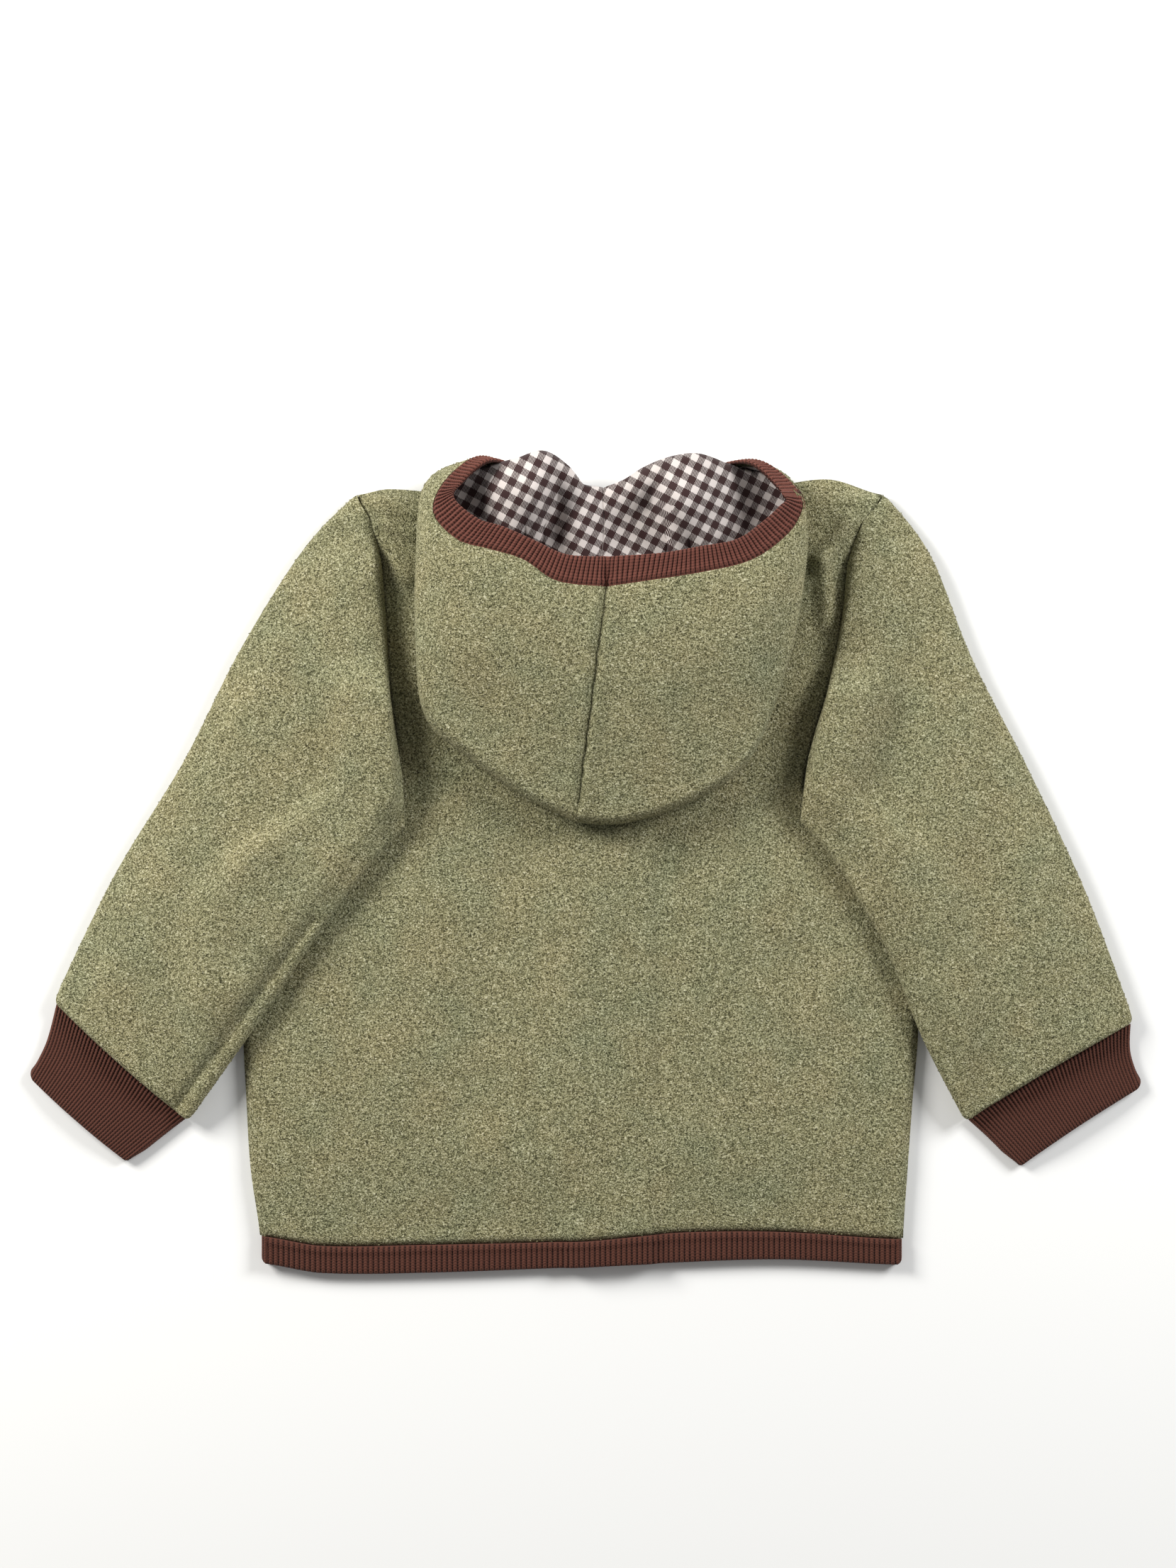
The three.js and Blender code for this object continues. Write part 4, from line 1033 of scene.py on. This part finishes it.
for name, side, seed in (("left", -1, 4), ("right", 1, 5)):
    outer, inner = hood_half(side, hood_grid), hood_half(side, hood_at(FLEECE))
    hood = wall_mesh(f"hood_{name}_cloth", outer, inner)
    finish_cloth(hood, fleece, [f"hood_{name}"])
    pile = nap(hood, HOOD_TUFTS_PER_M2, seed)


# Hood lining: two halves of cotton gingham inside the fleece, woven in plain weave from white and dark
# brown yarn. White crosses white, brown crosses brown, and where they cross each other fine diagonal
# lines of both show. Those lines are drawn coarser than the yarn, so that they show.
CHECK_MM = 7.0
YARN_MM = 0.45
STRIPE_BLUR_MM = 0.18
SLUB_PER_M = 2200.0
LINING_SHORT = 3.0  # how far the lining stops short of the face edge
LINING_TURN = math.radians(28)  # how far its check is turned
LINING_LEAN = np.array([-0.06, 0.1])  # how far its check shifts for each millimetre of a fold's height
FOLD_COLUMN = round(HOOD_STEPS * LOWER_END)


def shortened(grid, short):
    """Lets each line end before the face edge."""
    done = grid.copy()
    for row, line in zip(done, grid):
        run = np.concatenate([[0], np.cumsum(np.linalg.norm(np.diff(line, axis=0), axis=1))])
        place = run - short * np.clip((run - run[-1]) / (4 * short) + 1, 0, 1)
        for k in range(3):
            row[:, k] = np.interp(place, run, line[:, k])
    return done


def check_places(grid):
    """Flat places in millimetres of a lining's points, as seen from above. The upper layer is turned over
    outwards at the crown's edge."""
    seen = grid[:, :, :2] + LINING_LEAN * grid[:, :, 2:]
    fold = seen[:, FOLD_COLUMN : FOLD_COLUMN + 1]
    column = np.arange(grid.shape[1])[None, :, None]
    flat = np.where(column > FOLD_COLUMN, 2 * fold - seen, seen)
    cosine, sine = math.cos(LINING_TURN), math.sin(LINING_TURN)
    return flat @ np.array([[cosine, -sine], [sine, cosine]]).T


def gingham_cloth():
    soft = {"Roughness": 0.82, "Specular_IOR_Level": 0.25, "Sheen_Weight": 0.1}
    cloth, tree, shader = finished("cotton_gingham", **soft)
    add_on = ("ShaderNodeMath", {"operation": "MULTIPLY_ADD"})
    weave = node(tree, "ShaderNodeUVMap", {"uv_map": "weave"}).outputs[0]
    millimetres = node(tree, "ShaderNodeVectorMath", {"operation": "SCALE"}, i0=weave, Scale=1000.0)
    axes = node(tree, "ShaderNodeSeparateXYZ", i0=millimetres.outputs[0])

    def stripe(value):
        part = node(tree, "ShaderNodeMath", {"operation": "PINGPONG"}, i0=value, i1=CHECK_MM / 2)
        return node(
            tree,
            "ShaderNodeMapRange",
            {"interpolation_type": "SMOOTHSTEP"},
            Value=part.outputs[0],
            From_Min=CHECK_MM / 4 - STRIPE_BLUR_MM,
            From_Max=CHECK_MM / 4 + STRIPE_BLUR_MM,
        ).outputs[0]

    warp, weft = stripe(axes.outputs[0]), stripe(axes.outputs[1])
    lines = node(tree, "ShaderNodeMath", {"operation": "ADD"}, i0=axes.outputs[0], i1=axes.outputs[1])
    twill = node(tree, "ShaderNodeMath", {"operation": "PINGPONG"}, i0=lines.outputs[0], i1=YARN_MM)
    both = node(tree, "ShaderNodeMath", {"operation": "ADD"}, i0=warp, i1=weft)
    raised = node(tree, *add_on, i0=twill.outputs[0], i1=1.2 / YARN_MM, i2=both.outputs[0])
    dark = node(tree, "ShaderNodeMapRange", Value=raised.outputs[0], From_Min=1.23, From_Max=1.42)
    ramp = node(tree, "ShaderNodeValToRGB", Fac=dark.outputs[0])
    stops(ramp, (0.0, "#cfc6c1"), (1.0, "#35201f"))
    tree.links.new(ramp.outputs[0], shader.inputs["Base Color"])
    slub = node(tree, "ShaderNodeTexNoise", Vector=weave, Scale=SLUB_PER_M, Detail=2.0)
    height = node(tree, *add_on, i0=twill.outputs[0], i1=1.2, i2=slub.outputs[0])
    bump = node(tree, "ShaderNodeBump", Height=height.outputs[0], Strength=0.35, Distance=0.0002)
    tree.links.new(bump.outputs[0], shader.inputs["Normal"])
    return cloth


gingham = gingham_cloth()
for name, side in (("left", -1), ("right", 1)):
    outer = hood_half(side, shortened(hood_at(FLEECE + LINING_GAP), LINING_SHORT))
    inner = hood_half(side, shortened(hood_at(HOOD_DEPTH), LINING_SHORT))
    lining = wall_mesh(f"hood_lining_{name}_cloth", inner, outer, uv=check_places(inner))
    finish_cloth(lining, gingham, [f"hood_lining_{name}"])


# Hood band: a strip of rib knit folded double, sewn along the whole face edge from chin to chin. Its
# free edge stands up round the mouth.
BAND_WIDTH = 12.0
BAND_PITCH = 0.93 * RIB_PITCH  # the band is sewn on slightly drawn in
BAND_RELIEF = 0.9
BAND_SHARES = (-0.12, 0.02, 0.08, 0.14, 0.2, 0.3, 0.45, 0.6, 0.75, 0.88, 0.96, 1.0)  # of its width
BAND_FOLD_ROLL = 1.1
BAND_RIDGE = 0.8
BAND_RIDGE_AT = 2.2
BAND_NEAR_SEAM = 0.5
# Here too the two colours span the painted shade in the grooves and the painted light on the crests.
hood_rib = rib_cloth("wool_rib_knit_hood", "#2c140e", "#6b4036")


def hood_band():
    rim = hood_grid[:, -1]
    deep = hood_at(RIB_KNIT)[:, -1]
    run = np.concatenate([[0], np.cumsum(np.linalg.norm(np.diff(rim, axis=0), axis=1))])
    ribs = round(run[-1] / BAND_PITCH)
    along = np.linspace(0, run[-1], RIB_STEPS * ribs + 1)
    edge = np.stack([np.interp(along, run, rim[:, k]) for k in range(3)], axis=1)
    depth = np.stack([np.interp(along, run, deep[:, k]) for k in range(3)], axis=1) - edge
    place = np.interp(along, run, hood_places)

    def lip_of(tab):
        return np.stack([at_row(tab[name], np.abs(place)) for name in ("lipX", "lipY", "lipZ")], axis=1)

    lip = np.where(place[:, None] < 0, lip_of(HOOD_LEFT), lip_of(HOOD_RIGHT))
    lip[:, 2] = np.maximum(lip[:, 2], 0)
    across = lip - edge
    counted = np.arange(len(along)) / RIB_STEPS
    dip = rib_dip(counted, 1, BAND_RELIEF)[:, None]
    out = -depth / np.maximum(np.linalg.norm(depth, axis=1, keepdims=True), 1e-9)
    outer, inner = [], []
    for share in BAND_SHARES:
        mm = BAND_WIDTH * share
        fold = BAND_FOLD_ROLL * (1 - quarter((1 - share) * BAND_WIDTH / 2.2))
        ridge = BAND_RIDGE * math.exp(-(((mm - BAND_RIDGE_AT) / 1.1) ** 2))
        soft = -fold + ridge - BAND_NEAR_SEAM * smooth(1 - mm)
        outer.append(edge + across * share + out * (soft + dip * float(smooth((mm - 0.6) / 1.5))))
        inner.append(edge + across * share + depth * 0.85)
    outer, inner = np.array(outer), np.array(inner)
    outer[:, :, 2] = np.maximum(outer[:, :, 2], 0)
    weave = np.stack(np.meshgrid(counted, [BAND_WIDTH * share for share in BAND_SHARES]), axis=-1)
    return outer, inner, weave


outer, inner, weave = hood_band()
trim = wall_mesh("hood_band_cloth", outer, inner, uv=weave)
finish_cloth(trim, hood_rib, ["hood_band"])


# Studio: a floor of matt white paper, a large soft light above the neck side, a weaker one opposite, and a
# pale surround. The camera looks straight down from about two metres, and frames the jacket as the
# photograph does.
VIEW_HEIGHT = 0.7742  # metres, as are the other lengths of this section
CAMERA_ABOVE = 2.2
MID_HEIGHT = 0.01  # of the jacket, from which the camera's distance is taken
AIM = (0.0016, 0.0394)  # where the camera looks
SENSOR_MM = 36
FLOOR_SIZE = 8
FLOOR_DROP = 0.0006
LIGHT_SIZE = 0.6
WHITE = (1, 1, 1, 1)
bpy.ops.mesh.primitive_plane_add(size=FLOOR_SIZE, location=(0, 0, -FLOOR_DROP))
floor = bpy.context.object
floor.name = "floor"
paper = finished("matt_white_paper", Base_Color=colour("#f2f2f0"), Roughness=0.95)[0]
floor.data.materials.append(paper)


def soft_light(name, watts, place, tint):
    """A square area light that looks at the middle of the jacket."""
    light = bpy.data.lights.new(name, "AREA")
    light.size = LIGHT_SIZE
    light.energy = watts
    light.color = tint
    lamp = bpy.data.objects.new(name, light)
    lamp.location = place
    aim = np.array(place) / -np.linalg.norm(place)
    lamp.rotation_euler = (math.acos(-aim[2]), 0, math.atan2(-aim[0], aim[1]))
    bpy.context.scene.collection.objects.link(lamp)


soft_light("key_light", 31, (-1.15, 0.75, 0.85), (1, 0.985, 0.96))
soft_light("fill_light", 22.5, (1.2, 0.7, 0.9), (0.985, 0.99, 1))
world = bpy.data.worlds.new("studio")
world.use_nodes = True
surround = world.node_tree.nodes["Background"]
surround.inputs["Color"].default_value = WHITE
surround.inputs["Strength"].default_value = 0.26
bpy.context.scene.world = world
bpy.context.scene.view_settings.view_transform = "Standard"

camera = bpy.data.objects.new("camera", bpy.data.cameras.new("camera"))
camera.data.sensor_width = SENSOR_MM
camera.data.lens = SENSOR_MM * CAMERA_ABOVE / VIEW_HEIGHT
camera.location = (*AIM, CAMERA_ABOVE + MID_HEIGHT)
bpy.context.scene.collection.objects.link(camera)
bpy.context.scene.camera = camera
